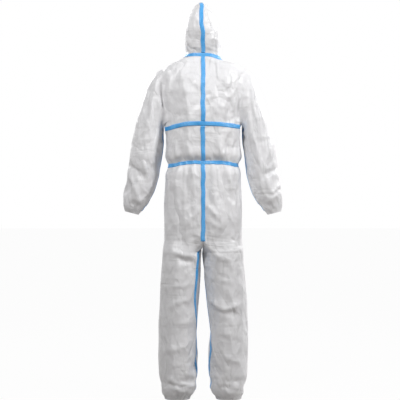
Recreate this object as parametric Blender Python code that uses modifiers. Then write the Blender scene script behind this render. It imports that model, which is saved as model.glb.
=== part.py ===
"""A disposable chemical protective coverall with a hood and taped seams, as it hangs on a wearer.

Metres, +Z up. The front faces -Y and the wearer's left is +X. The ankle hems stand on z = 0.
Each fabric panel is an open surface, lofted between hand-set sections and given its thickness
inwards. Each tape and elastic is laid on the same sections, so it follows the panel it is bonded to.
"""

import math

import bmesh
import bpy
from mathutils import Matrix, Vector

# ---------------------------------------------------------------- driving dimensions, in metres
FABRIC = 0.0012  # wall of every fabric panel
TAPE = 0.0006  # thickness of the seam tape
TAPE_WIDTH = 0.018
WAIST_TAPE_WIDTH = 0.015
ELASTIC = 0.0012  # thickness of the elastics
LAY = 0.0004  # clearance under a tape, an elastic or the flap
SEAM = 0.0008  # clearance between two panels that meet edge to edge
HOOD_SEAM = 2 * FABRIC / 3  # the same between the hood's panels, whose walls lean inwards
BAND = 0.010  # width of the wrist, ankle and face elastics

INSEAM = 0.695  # ankle hem to crotch
RISE = 0.339  # crotch to waist
WAIST_TO_YOKE = 0.166
YOKE_TO_NECK = 0.298
HOOD_HEIGHT = 0.236  # neck seam to crest
CROTCH_Z = INSEAM
WAIST_Z = CROTCH_Z + RISE
YOKE_Z = WAIST_Z + WAIST_TO_YOKE
NECK_Z = YOKE_Z + YOKE_TO_NECK
HOOD_TOP = NECK_Z + HOOD_HEIGHT
HIP_Z = CROTCH_Z + 0.105  # lower edge of the seat panels and height of the hip axes
HOOD_Z = NECK_Z + 0.062  # lower edge of the hood panels

ARMHOLE_LOW = YOKE_Z + 0.022
ARMHOLE_HIGH = NECK_Z - 0.053
SHOULDER_AXIS = (0.185, 0.0, NECK_Z - 0.113)
ELBOW_AXIS = (0.266, 0.0, NECK_Z - 0.503)
HIP_AXIS = (0.095, 0.0, HIP_Z)
KNEE_REACH = 0.110  # how far the knee section goes above and below the knee axis
THIGH_TOP = CROTCH_Z - 0.095
KNEE_AXIS = (0.105, 0.0, THIGH_TOP - 0.070 - KNEE_REACH)
NAPE_AXIS = (0.0, 0.100, NECK_Z + 0.002)

FRONT = 0.120  # depth of the flat front, which carries the zip
BACK = 0.120  # depth of the back at the height where the sleeves are set in
FLAT = 0.050  # half width of that flat front
ZIP_SLOT = 0.006  # half width of the slot between the front edges
ZIP_LOW = HIP_Z + 0.038
ZIP_HIGH = NECK_Z - 0.058
TEETH_INNER = 0.0009
TEETH_OUTER = 0.0032
TEETH_DEPTH = 0.0028
ZIP_TAPE_OUTER = 0.018
ZIP_TAPE_THICK = 0.0008
STOP_HEIGHT = 0.0075
SLIDER_REST = ZIP_HIGH - 0.015
SLIDER_HEIGHT = 0.010
SLIDER_PLATE = 0.0013
SLIDER_WIDTH = 0.0090
SLIDER_WEB = 0.0006
LUG_WIDTH = 0.0018
LUG_HEIGHT = 0.0060
LUG_WALL = 0.0008
PULL_THICK = 0.0010
PULL_LENGTH = 0.028
PULL_WIDTH = 0.0072
PULL_BAR = 0.0012

FLAP_LOW = ZIP_LOW - 0.010
FLAP_HIGH = SLIDER_REST - PULL_LENGTH - 0.012  # below the pull, which can swing at rest
FLAP_HINGE_X = 0.034
FLAP_FREE_X = -0.046
FLAP_HUMP = 0.0090  # height of the flap's inside over the zip
FLAP_HUMP_HALF = 0.015
STICKY = 0.0005  # thickness of the adhesive strip
STICKY_WIDTH = 0.018

# The torso's sections: height, half width, back depth, front depth.
TORSO = (
    (CROTCH_Z - 0.015, 0.177, 0.112, 0.100),
    (HIP_Z - 0.060, 0.177, 0.124, 0.114),
    (HIP_Z, 0.179, 0.128, FRONT),
    (HIP_Z + 0.060, 0.181, 0.129, FRONT),
    (HIP_Z + 0.140, 0.177, 0.125, FRONT),
    (WAIST_Z - 0.044, 0.171, 0.117, FRONT),
    (WAIST_Z, 0.156, 0.104, FRONT),
    (WAIST_Z + 0.041, 0.163, 0.114, FRONT),
    (YOKE_Z, 0.166, 0.124, FRONT),
    (YOKE_Z + 0.100, 0.174, 0.129, FRONT),
    (ARMHOLE_HIGH - 0.060, 0.179, 0.122, FRONT),
    (ARMHOLE_HIGH, 0.178, 0.103, FRONT),
    (NECK_Z - 0.036, 0.162, 0.096, FRONT),
    (NECK_Z - 0.020, 0.117, 0.086, FRONT - 0.006),
    (NECK_Z, 0.073, 0.072, FRONT - 0.018),
    (NECK_Z + 0.032, 0.077, 0.085, FRONT - 0.020),
    (HOOD_Z, 0.081, 0.098, FRONT - 0.022),
)
# The angles, from the back round the side to the front, at which a section has its points.
TORSO_ANGLES = (18, 36, 54, 68, 82, 98, 112, 126, 144)
ARMHOLE_COLUMNS = (4, 9)  # the points of a section where the armhole starts and ends
BLUNTNESS = 0.80  # the power that squares the torso's oval a little

# The hood's sections above HOOD_Z: height, half width, back depth, front depth.
HOOD = (
    (HOOD_Z, 0.081, 0.098, FRONT - 0.022),
    (HOOD_Z + 0.045, 0.080, 0.112, 0.110),
    (HOOD_TOP - 0.089, 0.070, 0.112, 0.116),
    (HOOD_TOP - 0.059, 0.058, 0.104, 0.116),
    (HOOD_TOP - 0.032, 0.043, 0.088, 0.110),
    (HOOD_TOP - 0.014, 0.027, 0.068, 0.102),
)
HOOD_CREST_BACK = 0.045
HOOD_CREST_FRONT = 0.095
HOOD_SWEEP = 138  # the angle at which the face edge lies, from the back
HOOD_COLUMNS = 6

# The sleeve's sections: centre x, centre z, half width, half depth, lean in degrees.
SLEEVE_TOP = (0.2475, ELBOW_AXIS[2] + 0.133, 0.070, 0.076, 8)
SLEEVE_END = (0.2560, ELBOW_AXIS[2] + 0.071, 0.071, 0.073, 8)
ELBOW = (ELBOW_AXIS[0], ELBOW_AXIS[2], 0.071, 0.070, 11)
FOREARM_TOP = (0.2810, ELBOW_AXIS[2] - 0.071, 0.067, 0.066, 14)
FOREARM_MID = (0.2970, ELBOW_AXIS[2] - 0.123, 0.057, 0.058, 16)
FOREARM_LOW = (0.3070, ELBOW_AXIS[2] - 0.157, 0.044, 0.047, 15)
FOREARM_END = (0.3135, ELBOW_AXIS[2] - 0.181, 0.031, 0.034, 14)
SET_IN = (FRONT + BACK) / 2  # half the torso's depth where the sleeve is set in
# The shoulder's sections: outer x and z, inner x and z, half depth, centre y.
SHOULDER = (
    (0.216, NECK_Z - 0.062, 0.176, NECK_Z - 0.292, SET_IN - 0.037, (BACK - FRONT) / 2),
    (0.258, NECK_Z - 0.153, 0.177, NECK_Z - 0.320, SET_IN - 0.034, (BACK - FRONT) / 2),
    (0.291, NECK_Z - 0.252, 0.178, NECK_Z - 0.350, SET_IN - 0.039, (BACK - FRONT) / 2),
)

# The leg's sections: height, centre x, half width, half depth, centre y.
LEG = (
    (0.000, 0.1125, 0.056, 0.060, 0.006),
    (BAND, 0.1125, 0.056, 0.060, 0.006),
    (0.024, 0.1100, 0.070, 0.075, 0.006),
    (0.050, 0.1070, 0.077, 0.083, 0.006),
    (0.110, 0.1080, 0.084, 0.090, 0.006),
    (0.200, 0.1090, 0.088, 0.094, 0.005),
    (KNEE_AXIS[2] - KNEE_REACH, 0.1100, 0.087, 0.097, 0.004),
    (KNEE_AXIS[2], 0.1060, 0.090, 0.100, 0.003),
    (KNEE_AXIS[2] + KNEE_REACH, 0.0990, 0.092, 0.104, 0.004),
    (THIGH_TOP, 0.0945, 0.090, 0.108, 0.005),
    (THIGH_TOP + 0.055, 0.0925, 0.0905, 0.110, 0.006),
)
LEG_START = -32  # the angle of the leg's first point, which lies at the centre back
LEG_TURN = 244  # the outer points of a leg section sweep this angle

FABRIC_WHITE = (0.80, 0.80, 0.82)
TAPE_BLUE = (0.10, 0.40, 0.78)
ELASTIC_GREY = (0.75, 0.76, 0.78)
ZIP_WHITE = (0.85, 0.86, 0.88)
STICKY_CLEAR = (0.90, 0.88, 0.80)


# ---------------------------------------------------------------- scene, materials, small helpers
def clear_scene():
    for item in list(bpy.data.objects):
        bpy.data.objects.remove(item, do_unlink=True)


def material(name, colour, roughness, metallic=0.0):
    """One Principled material for each finish."""
    made = bpy.data.materials.get(name)
    if made:
        return made
    made = bpy.data.materials.new(name)
    made.use_nodes = True
    shader = made.node_tree.nodes["Principled BSDF"]
    shader.inputs["Base Color"].default_value = (*colour, 1.0)
    shader.inputs["Roughness"].default_value = roughness
    shader.inputs["Metallic"].default_value = metallic
    return made


def fabric():
    return material("laminated_fabric", FABRIC_WHITE, 0.55)


def tape():
    return material("seam_tape", TAPE_BLUE, 0.35)


def elastic():
    return material("elastic", ELASTIC_GREY, 0.80)


def zip_plastic():
    return material("zip_plastic", ZIP_WHITE, 0.40)


def sticky():
    return material("adhesive", STICKY_CLEAR, 0.25)


def add_object(name, mesh, finish):
    made = bpy.data.objects.new(name, mesh)
    PARTS.objects.link(made)
    made.data.materials.append(finish)
    return made


def between(table, height):
    """The section at a height, read between the two nearest rows of a table."""
    if height <= table[0][0]:
        return table[0][1:]
    for low, high in zip(table, table[1:]):
        if height <= high[0]:
            share = (height - low[0]) / (high[0] - low[0])
            return tuple(a + (b - a) * share for a, b in zip(low[1:], high[1:]))
    return table[-1][1:]


def cells(rows, keep=None, closed=False):
    """The faces of a grid of points. Rows go up, and points go from the back to the outer side."""
    count = len(rows[0])
    steps = count if closed else count - 1
    faces = []
    for r in range(len(rows) - 1):
        for c in range(steps):
            if keep and not keep(r, c):
                continue
            d = (c + 1) % count
            faces.append((r * count + c, (r + 1) * count + c, (r + 1) * count + d, r * count + d))
    return faces


def sheet(name, rows, finish, side=1, keep=None, closed=False, smooth=True):
    """An open surface through rows of points; side -1 makes the mirrored piece."""
    points = [(side * x, y, z) for row in rows for x, y, z in row]
    faces = cells(rows, keep, closed)
    if side < 0:
        faces = [(a, d, c, b) for a, b, c, d in faces]
    used = sorted({index for face in faces for index in face})
    place = {old: new for new, old in enumerate(used)}
    mesh = bpy.data.meshes.new(name)
    mesh.from_pydata([points[i] for i in used], [], [[place[i] for i in face] for face in faces])
    if smooth:
        mesh.shade_smooth()
    return add_object(name, mesh, finish)


def thicken(piece, thickness, gap=0.0, outward=False):
    """Solidify between gap and gap + thickness, inside or outside the surface."""
    solid = piece.modifiers.new("thickness", "SOLIDIFY")
    solid.thickness = thickness
    reach = 1.0 + 2.0 * gap / thickness
    solid.offset = reach if outward else -reach
    return piece


def mirrored(piece):
    """Complete a half that is open at the centre plane."""
    mirror = piece.modifiers.new("both_sides", "MIRROR")
    mirror.use_clip = False
    mirror.merge_threshold = 0.0001
    return piece


def box(name, low, high, finish):
    """A block between two corners."""
    bpy.ops.mesh.primitive_cube_add(size=1.0)
    piece = bpy.context.active_object
    piece.name = piece.data.name = name
    centre = [(a + b) / 2 for a, b in zip(low, high)]
    size = [b - a for a, b in zip(low, high)]
    piece.data.transform(Matrix.Diagonal((*size, 1.0)))
    piece.location = centre
    for group in list(piece.users_collection):
        group.objects.unlink(piece)
    PARTS.objects.link(piece)
    piece.data.materials.append(finish)
    return piece


def outline(name, loops, thickness, turn, finish):
    """A flat plate of closed outlines, made solid along its normal and turned into place."""
    curve = bpy.data.curves.new(name, "CURVE")
    curve.dimensions = "2D"
    curve.fill_mode = "BOTH"
    curve.extrude = thickness / 2
    for loop in loops:
        spline = curve.splines.new("POLY")
        spline.points.add(len(loop) - 1)
        for point, (x, y) in zip(spline.points, loop):
            point.co = (x, y, 0.0, 1.0)
        spline.use_cyclic_u = True
    guide = bpy.data.objects.new(name + "_guide", curve)
    PARTS.objects.link(guide)
    bpy.context.view_layer.update()
    flat = bpy.data.meshes.new_from_object(guide.evaluated_get(bpy.context.evaluated_depsgraph_get()))
    bpy.data.objects.remove(guide, do_unlink=True)
    weld = bmesh.new()
    weld.from_mesh(flat)
    bmesh.ops.remove_doubles(weld, verts=weld.verts, dist=0.00001)
    bmesh.ops.recalc_face_normals(weld, faces=weld.faces)
    weld.to_mesh(flat)
    weld.free()
    flat.materials.clear()
    flat.transform(turn)
    flat.name = name
    return add_object(name, flat, finish)


# ---------------------------------------------------------------- sections
def oval(angle, half_width, back, front):
    """A point of the torso's blunt oval; 0 degrees is the back and 90 the outer side."""
    across = math.sin(math.radians(angle))
    along = math.cos(math.radians(angle))
    depth = back if along > 0 else front
    x = half_width * abs(across) ** BLUNTNESS
    y = math.copysign(depth * abs(along) ** BLUNTNESS, along)
    return x, y


def torso_section(height, seam=SEAM / 2, slot=ZIP_SLOT):
    """Half a torso section, from the centre back to the front edge."""
    half_width, back, front = between(TORSO, height)
    points = [(seam, back, height), (TAPE_WIDTH / 2, back, height)]
    for angle in TORSO_ANGLES:
        x, y = oval(angle, half_width, back, front)
        points.append((x, y, height))
    points.append((min(FLAT, half_width * 0.55), -front, height))
    points.append((slot, -front, height))
    return points


def hood_section(height, seam=SEAM / 2):
    """Half a hood section, from the centre back to the face edge."""
    half_width, back, front = between(HOOD, height)
    points = [(seam, back, height), (TAPE_WIDTH / 2, back, height)]
    for step in range(1, HOOD_COLUMNS + 1):
        x, y = oval(HOOD_SWEEP * step / HOOD_COLUMNS, half_width, back, front)
        points.append((max(x, TAPE_WIDTH / 2), y, height))
    return points


def crest_section(x, drop):
    """A line along the hood's crest at one distance from the centre plane."""
    count = HOOD_COLUMNS + 1
    points = [(x, HOOD_CREST_BACK + 0.005, HOOD_TOP - 0.0025 - drop)]
    for step in range(count):
        share = step / (count - 1)
        y = HOOD_CREST_BACK - share * (HOOD_CREST_BACK + HOOD_CREST_FRONT)
        points.append((x, y, HOOD_TOP - drop - 0.010 * share ** 2))
    return points


def ring(centre_x, centre_z, half_width, half_depth, lean, centre_y=0.0):
    """A sleeve section square to the arm, from its back round the outer side."""
    tilt = math.radians(lean)
    points = []
    for angle in ring_angles(half_depth):
        out = half_width * math.sin(math.radians(angle))
        y = centre_y + half_depth * math.cos(math.radians(angle))
        points.append((centre_x + out * math.cos(tilt), y, centre_z + out * math.sin(tilt)))
    return points


def ring_angles(half_depth):
    """Sixteen even angles, and two more for the edges of the tape on the inner side."""
    tape_angle = math.degrees(math.asin(TAPE_WIDTH / 2 / half_depth))
    even = [22.5 * k for k in range(16)]
    return sorted(even + [270 - tape_angle, 270 + tape_angle])


def ring_between(outer_x, outer_z, inner_x, inner_z, half_depth, centre_y):
    """A sleeve section given by its outer and inner points."""
    half_width = math.hypot(outer_x - inner_x, outer_z - inner_z) / 2
    lean = math.degrees(math.atan2(outer_z - inner_z, outer_x - inner_x))
    middle = (outer_x + inner_x) / 2, (outer_z + inner_z) / 2
    return ring(*middle, half_width, half_depth, lean, centre_y)


def leg_angles(half_depth):
    """The outer points match the torso's half section, and the inner ones hold the tape."""
    count = len(TORSO_ANGLES) + 3
    outer = [LEG_START + LEG_TURN * k / count for k in range(count + 1)]
    tape_angle = math.degrees(math.asin(TAPE_WIDTH / 2 / half_depth))
    return outer + [240, 270 - tape_angle, 270, 270 + tape_angle, 300]


def leg_section(height):
    centre_x, half_width, half_depth, centre_y = between(LEG, height)
    points = []
    for angle in leg_angles(half_depth):
        x = centre_x + half_width * math.sin(math.radians(angle))
        y = centre_y + half_depth * math.cos(math.radians(angle))
        points.append((max(x, SEAM), y, height))
    return points


def crotch_section(height):
    """The torso's half section, closed along the centre plane."""
    outer = torso_section(height, slot=SEAM / 2)
    back, front = outer[0][1], outer[-1][1]
    inner = []
    for share in (0.2, 0.42, 0.5, 0.58, 0.8):
        dip = 0.014 * math.sin(math.pi * share)
        inner.append((SEAM / 2, front + (back - front) * share, height - dip))
    return outer + inner


# ---------------------------------------------------------------- panels of the body
def seat_heights():
    levels = [HIP_Z + 0.060, HIP_Z + 0.120, HIP_Z + 0.175]
    return [HIP_Z + SEAM / 2] + levels + [WAIST_Z - WAIST_TAPE_WIDTH / 2, WAIST_Z - SEAM / 2]


def lower_heights():
    return [WAIST_Z + SEAM / 2, WAIST_Z + WAIST_TAPE_WIDTH / 2, WAIST_Z + 0.046, WAIST_Z + 0.106,
            YOKE_Z - TAPE_WIDTH / 2, YOKE_Z - SEAM / 2]


def armhole_heights():
    rise = (ARMHOLE_HIGH - ARMHOLE_LOW) / 4
    return [ARMHOLE_LOW + rise * k for k in range(5)]


def upper_heights():
    return ([YOKE_Z + SEAM / 2, YOKE_Z + TAPE_WIDTH / 2] + armhole_heights()
            + [NECK_Z - 0.036, NECK_Z - 0.020, NECK_Z - TAPE_WIDTH / 2, NECK_Z - SEAM / 2])


def neck_heights():
    return [NECK_Z + SEAM / 2, NECK_Z + TAPE_WIDTH / 2, NECK_Z + 0.035, HOOD_Z - SEAM / 2]


def body_panel(name, heights, side, keep=None):
    rows = [torso_section(height) for height in heights]
    return thicken(sheet(name, rows, fabric(), side, keep), FABRIC)


def outside_armhole(row, column):
    first = upper_heights().index(ARMHOLE_LOW)
    in_rows = first <= row < first + 4
    in_columns = ARMHOLE_COLUMNS[0] <= column < ARMHOLE_COLUMNS[1]
    return not (in_rows and in_columns)


def body_panels(side, word):
    body_panel("seat_panel_" + word, seat_heights(), side)
    body_panel("lower_body_" + word, lower_heights(), side)
    body_panel("upper_body_" + word, upper_heights(), side, outside_armhole)


def neck_section():
    rows = [torso_section(height, seam=0.0, slot=ZIP_SLOT) for height in neck_heights()]
    thicken(mirrored(sheet("neck_section", rows, fabric())), FABRIC)


# ---------------------------------------------------------------- hood
def hood_rows(seam):
    heights = [HOOD_Z + SEAM / 2] + [row[0] for row in HOOD[1:]]
    rows = [hood_section(height, seam) for height in heights]
    rows.append(crest_section(TAPE_WIDTH / 2, 0.0025))
    rows.append(crest_section(seam, 0.0))
    rows[-2][0] = (seam, HOOD_CREST_BACK + 0.012, HOOD_TOP - 0.006)
    return rows


def hood_panels(side, word):
    thicken(sheet("hood_panel_" + word, hood_rows(HOOD_SEAM / 2), fabric(), side), FABRIC)


def hood_tape():
    """The tape over the centre seam, up the back and along the crest."""
    rows = hood_rows(0.0)
    crest = len(rows) - 2
    piece = sheet("hood_centre_tape", rows, tape(), keep=lambda r, c: c == 0 or r == crest)
    thicken(mirrored(piece), TAPE, LAY, outward=True)


def face_elastic():
    """The elastic in the hem round the face, inside the edge of the hood."""
    rows = []
    for row in hood_rows(0.0):
        edge, before = row[-1], row[-2]
        span = math.dist(edge, before)
        share = BAND / span
        inner = tuple(e + (b - e) * share for e, b in zip(edge, before))
        rows.append([inner, edge])
    piece = sheet("face_elastic", rows, elastic())
    thicken(mirrored(piece), ELASTIC, FABRIC + 2 * LAY)


# ---------------------------------------------------------------- tapes and elastic of the body
def body_band(name, heights, finish, thickness, gap, outward):
    """A band round the torso from one edge of the flat front to the other."""
    rows = [torso_section(height, seam=0.0)[:-1] for height in heights]
    thicken(mirrored(sheet(name, rows, finish)), thickness, gap, outward)


def round_tapes():
    for name, height, width in (("neck_tape", NECK_Z, TAPE_WIDTH), ("yoke_tape", YOKE_Z, TAPE_WIDTH),
                                ("waist_tape", WAIST_Z, WAIST_TAPE_WIDTH)):
        heights = [height - width / 2, height, height + width / 2]
        body_band(name, heights, tape(), TAPE, LAY, True)


def waist_elastic():
    heights = [WAIST_Z - BAND / 2, WAIST_Z, WAIST_Z + BAND / 2]
    body_band("waist_elastic", heights, elastic(), ELASTIC, FABRIC + LAY, False)


def back_tape(name, heights):
    """A length of the centre back tape, which ends against the tapes that cross it."""
    rows = [torso_section(height, seam=0.0)[:2] for height in heights]
    thicken(mirrored(sheet(name, rows, tape())), TAPE, LAY, outward=True)


def back_tapes():
    seat_low = [CROTCH_Z + SEAM, HIP_Z - 0.060, HIP_Z - SEAM / 2]
    below_waist = WAIST_Z - WAIST_TAPE_WIDTH / 2 - SEAM
    above_waist = WAIST_Z + WAIST_TAPE_WIDTH / 2 + SEAM
    below_yoke = YOKE_Z - TAPE_WIDTH / 2 - SEAM
    above_yoke = YOKE_Z + TAPE_WIDTH / 2 + SEAM
    below_neck = NECK_Z - TAPE_WIDTH / 2 - SEAM
    back_tape("back_tape_seat", seat_low + seat_heights()[:4] + [below_waist])
    back_tape("back_tape_middle", [above_waist] + lower_heights()[2:4] + [below_yoke])
    back_tape("back_tape_upper", [above_yoke] + upper_heights()[2:9] + [below_neck])


# ---------------------------------------------------------------- sleeves
def armhole_loop():
    """The armhole's edge as a section that matches a sleeve ring, just clear of the panel."""
    heights = armhole_heights()
    first, last = ARMHOLE_COLUMNS
    edge = [torso_section(height) for height in heights]
    back_up = [edge[k][first] for k in (2, 3, 4)]
    top = [edge[4][c] for c in range(first + 1, last)]
    front_down = [edge[k][last] for k in (4, 3, 2, 1, 0)]
    bottom = [edge[0][c] for c in range(last - 1, first, -1)]
    back_low = [edge[k][first] for k in (0, 1)]
    loop = back_up + top + front_down + bottom + back_low
    return [(x + SEAM * 2, y, z) for x, y, z in loop]


def below(section, amount):
    """The same section, moved along the arm by a small clearance."""
    centre_x, centre_z, half_width, half_depth, lean = section
    tilt = math.radians(lean)
    return (centre_x + amount * math.sin(tilt), centre_z - amount * math.cos(tilt),
            half_width, half_depth, lean)


def tube(name, rows, side, keep=None):
    return thicken(sheet(name, rows, fabric(), side, keep, closed=True), FABRIC)


def tube_tape(name, rows, side, inner):
    """The tape over a tube's inner seam, laid on the two cells beside it."""
    count = len(rows[0])
    piece = sheet(name, rows, tape(), side, keep=lambda r, c: c % count in (inner - 1, inner), closed=True)
    thicken(piece, TAPE, LAY, outward=True)


def sleeve(side, word):
    inner_seam = 13
    upper = [ring(*SLEEVE_END), ring(*SLEEVE_TOP)]
    shoulder = [ring(*below(SLEEVE_TOP, -SEAM))]
    shoulder += [ring_between(*section) for section in reversed(SHOULDER)]
    tube("shoulder_section_" + word, shoulder + [armhole_loop()], side)
    tube("upper_sleeve_" + word, upper, side)
    tube_tape("upper_sleeve_tape_" + word, upper, side, inner_seam)
    elbow = [ring(*below(FOREARM_TOP, -SEAM)), ring(*ELBOW), ring(*below(SLEEVE_END, SEAM))]
    tube("elbow_section_" + word, elbow, side)
    hem_top = below(FOREARM_END, -BAND)
    fore = [ring(*section) for section in (FOREARM_END, hem_top, FOREARM_LOW, FOREARM_MID, FOREARM_TOP)]
    tube("forearm_sleeve_" + word, fore, side)
    tube_tape("forearm_tape_" + word, fore[1:], side, inner_seam)
    hem_elastic("wrist_elastic_" + word, fore[:2], side)


def hem_elastic(name, rows, side):
    """The elastic inside a straight hem, with its end face square to the tube."""
    thicken(sheet(name, rows, elastic(), side, closed=True), ELASTIC, FABRIC + LAY)


# ---------------------------------------------------------------- legs
def leg(side, word):
    inner_seam = len(TORSO_ANGLES) + 6
    outer_cells = len(TORSO_ANGLES) + 3
    hip = [leg_section(THIGH_TOP + SEAM), leg_section(THIGH_TOP + 0.050), crotch_section(CROTCH_Z),
           crotch_section(HIP_Z - 0.055), crotch_section(HIP_Z - SEAM / 2)]
    tube("hip_section_" + word, hip, side, keep=lambda r, c: r < 2 or c < outer_cells)
    knee_low = KNEE_AXIS[2] - KNEE_REACH
    knee_high = KNEE_AXIS[2] + KNEE_REACH
    thigh = [leg_section(knee_high), leg_section(THIGH_TOP)]
    tube("thigh_" + word, thigh, side)
    tube_tape("thigh_tape_" + word, thigh, side, inner_seam)
    knee = [leg_section(z) for z in (knee_low + SEAM, KNEE_AXIS[2], knee_high - SEAM)]
    tube("knee_section_" + word, knee, side)
    shin = [leg_section(z) for z in (0.0, BAND, 0.024, 0.050, 0.110, 0.200, knee_low)]
    tube("shin_" + word, shin, side)
    tube_tape("shin_tape_" + word, shin[3:], side, inner_seam)
    hem_elastic("ankle_elastic_" + word, shin[:2], side)


# ---------------------------------------------------------------- zip and storm flap
def zip_sides(side, word):
    inside = -FRONT + FABRIC + LAY
    low = (side * (TEETH_OUTER + LAY), inside, ZIP_LOW)
    high = (side * ZIP_TAPE_OUTER, inside + ZIP_TAPE_THICK, ZIP_HIGH)
    box("zip_tape_" + word, *ordered(low, high), fabric())
    low = (side * TEETH_INNER, -FRONT, ZIP_LOW + STOP_HEIGHT + SEAM)
    high = (side * TEETH_OUTER, -FRONT + TEETH_DEPTH, ZIP_HIGH)
    box("zip_teeth_" + word, *ordered(low, high), zip_plastic())


def ordered(low, high):
    return ([min(a, b) for a, b in zip(low, high)], [max(a, b) for a, b in zip(low, high)])


def zip_stop():
    low = (-TEETH_OUTER, -FRONT - LAY, ZIP_LOW)
    high = (TEETH_OUTER, -FRONT + TEETH_DEPTH + LAY, ZIP_LOW + STOP_HEIGHT)
    box("zip_bottom_stop", low, high, zip_plastic())


def slider_front():
    """How far forward the slider's front plate reaches."""
    return -FRONT - LAY - SLIDER_PLATE


def zip_slider():
    """Two plates joined by a web that runs between the rows of teeth."""
    half = SLIDER_WIDTH / 2
    web = SLIDER_WEB / 2
    front, face = slider_front(), -FRONT - LAY
    back = -FRONT + TEETH_DEPTH + LAY
    profile = [(-half, front), (half, front), (half, face), (web, face), (web, back), (half, back),
               (half, back + SLIDER_PLATE), (-half, back + SLIDER_PLATE), (-half, back), (-web, back),
               (-web, face), (-half, face)]
    lift = Matrix.Translation((0.0, 0.0, SLIDER_REST))
    outline("zip_slider", [profile], SLIDER_HEIGHT, lift, zip_plastic())


def slider_bridge():
    """The bridge clipped to the slider's front plate, which holds the pull."""
    high = LUG_HEIGHT / 2
    room = high - LUG_WALL
    reach = lug_reach()
    arch = [(-LAY, -high), (-reach, -high), (-reach, high), (-LAY, high), (-LAY, room),
            (-reach + LUG_WALL, room), (-reach + LUG_WALL, -room), (-LAY, -room)]
    upright = Matrix(((0, 0, 1, 0), (1, 0, 0, slider_front()), (0, 1, 0, SLIDER_REST), (0, 0, 0, 1)))
    outline("slider_bridge", [arch], LUG_WIDTH, upright, zip_plastic())


def lug_reach():
    """The bridge's height: its wall, the pull and the clearance on both sides of the pull."""
    return LUG_WALL + PULL_THICK + 4 * LAY


def pull_axis():
    return slider_front() - lug_reach() + LUG_WALL + LAY + PULL_THICK / 2


def zip_pull():
    """A flat tab whose top bar passes through the slider's bridge."""
    half, bar = PULL_WIDTH / 2, PULL_BAR / 2
    tab = [(-half, bar), (half, bar), (half, -PULL_LENGTH + 0.002), (half - 0.002, -PULL_LENGTH),
           (-half + 0.002, -PULL_LENGTH), (-half, -PULL_LENGTH + 0.002)]
    room = LUG_WIDTH / 2 + 0.0010
    window = [(-room, -bar), (-room, -bar - LUG_HEIGHT), (room, -bar - LUG_HEIGHT), (room, -bar)]
    upright = Matrix(((1, 0, 0, 0), (0, 0, -1, pull_axis()), (0, 1, 0, SLIDER_REST), (0, 0, 0, 1)))
    outline("zip_pull", [tab, window], PULL_THICK, upright, zip_plastic())


def storm_flap():
    """The flap over the zip: sewn at the wearer's left, humped over the slider, stuck at the right."""
    near, stuck = -FRONT - LAY, -FRONT - LAY - STICKY - LAY
    hump = -FRONT - FLAP_HUMP
    line = [(FLAP_HINGE_X, near), (FLAP_HUMP_HALF + 0.007, near), (FLAP_HUMP_HALF, hump),
            (-FLAP_HUMP_HALF, hump), (-FLAP_HUMP_HALF - 0.007, stuck), (FLAP_FREE_X, stuck)]
    rows = [[(x, y, z) for x, y in line] for z in (FLAP_LOW, FLAP_HIGH)]
    thicken(sheet("storm_flap", rows, fabric(), smooth=False), FABRIC, outward=True)
    low = (FLAP_FREE_X + 0.002, -FRONT - LAY - STICKY, FLAP_LOW + 0.004)
    high = (FLAP_FREE_X + 0.002 + STICKY_WIDTH, -FRONT - LAY, FLAP_HIGH - 0.014)
    box("adhesive_strip", low, high, sticky())


# ---------------------------------------------------------------- joints
def pivot(name, place, pieces, carrier=None):
    """An empty on a joint's axis, which carries the pieces that move with it."""
    empty = bpy.data.objects.new(name, None)
    PARTS.objects.link(empty)
    empty.parent = carrier
    empty.location = Vector(place) - (whole_place(carrier) if carrier else Vector())
    for piece in pieces:
        PARTS.objects[piece].parent = empty
        PARTS.objects[piece].location -= Vector(place)
    return empty


def whole_place(empty):
    """An empty's place in the world, summed up its chain of parents."""
    return empty.location + (whole_place(empty.parent) if empty.parent else Vector())


def limb_pivots(side, word):
    def at(axis):
        return (side * axis[0], axis[1], axis[2])

    def named(*stems):
        return [stem + "_" + word for stem in stems]

    shoulder = pivot("shoulder_axis_" + word, at(SHOULDER_AXIS),
                     named("upper_sleeve", "upper_sleeve_tape", "elbow_section"))
    pivot("elbow_axis_" + word, at(ELBOW_AXIS),
          named("forearm_sleeve", "forearm_tape", "wrist_elastic"), shoulder)
    hip = pivot("hip_axis_" + word, at(HIP_AXIS), named("thigh", "thigh_tape", "knee_section"))
    pivot("knee_axis_" + word, at(KNEE_AXIS), named("shin", "shin_tape", "ankle_elastic"), hip)


def front_pivots():
    slider = pivot("zip_axis", (0.0, -FRONT, SLIDER_REST), ["zip_slider", "slider_bridge"])
    pivot("pull_axis", (0.0, pull_axis(), SLIDER_REST), ["zip_pull"], slider)
    hinge = (FLAP_HINGE_X, -FRONT - LAY - FABRIC / 2, (FLAP_LOW + FLAP_HIGH) / 2)
    pivot("flap_axis", hinge, ["storm_flap", "adhesive_strip"])


# ---------------------------------------------------------------- the coverall
clear_scene()
PARTS = bpy.data.collections.new("chemical_protective_suit")
bpy.context.scene.collection.children.link(PARTS)

for SIDE, WORD in ((1, "left"), (-1, "right")):
    body_panels(SIDE, WORD)
    hood_panels(SIDE, WORD)
    sleeve(SIDE, WORD)
    leg(SIDE, WORD)
    zip_sides(SIDE, WORD)
neck_section()
hood_tape()
face_elastic()
round_tapes()
waist_elastic()
back_tapes()
zip_stop()
zip_slider()
slider_bridge()
zip_pull()
storm_flap()
for SIDE, WORD in ((1, "left"), (-1, "right")):
    limb_pivots(SIDE, WORD)
front_pivots()
pivot("nape_axis", NAPE_AXIS, ["hood_panel_left", "hood_panel_right", "hood_centre_tape", "face_elastic"])
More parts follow.
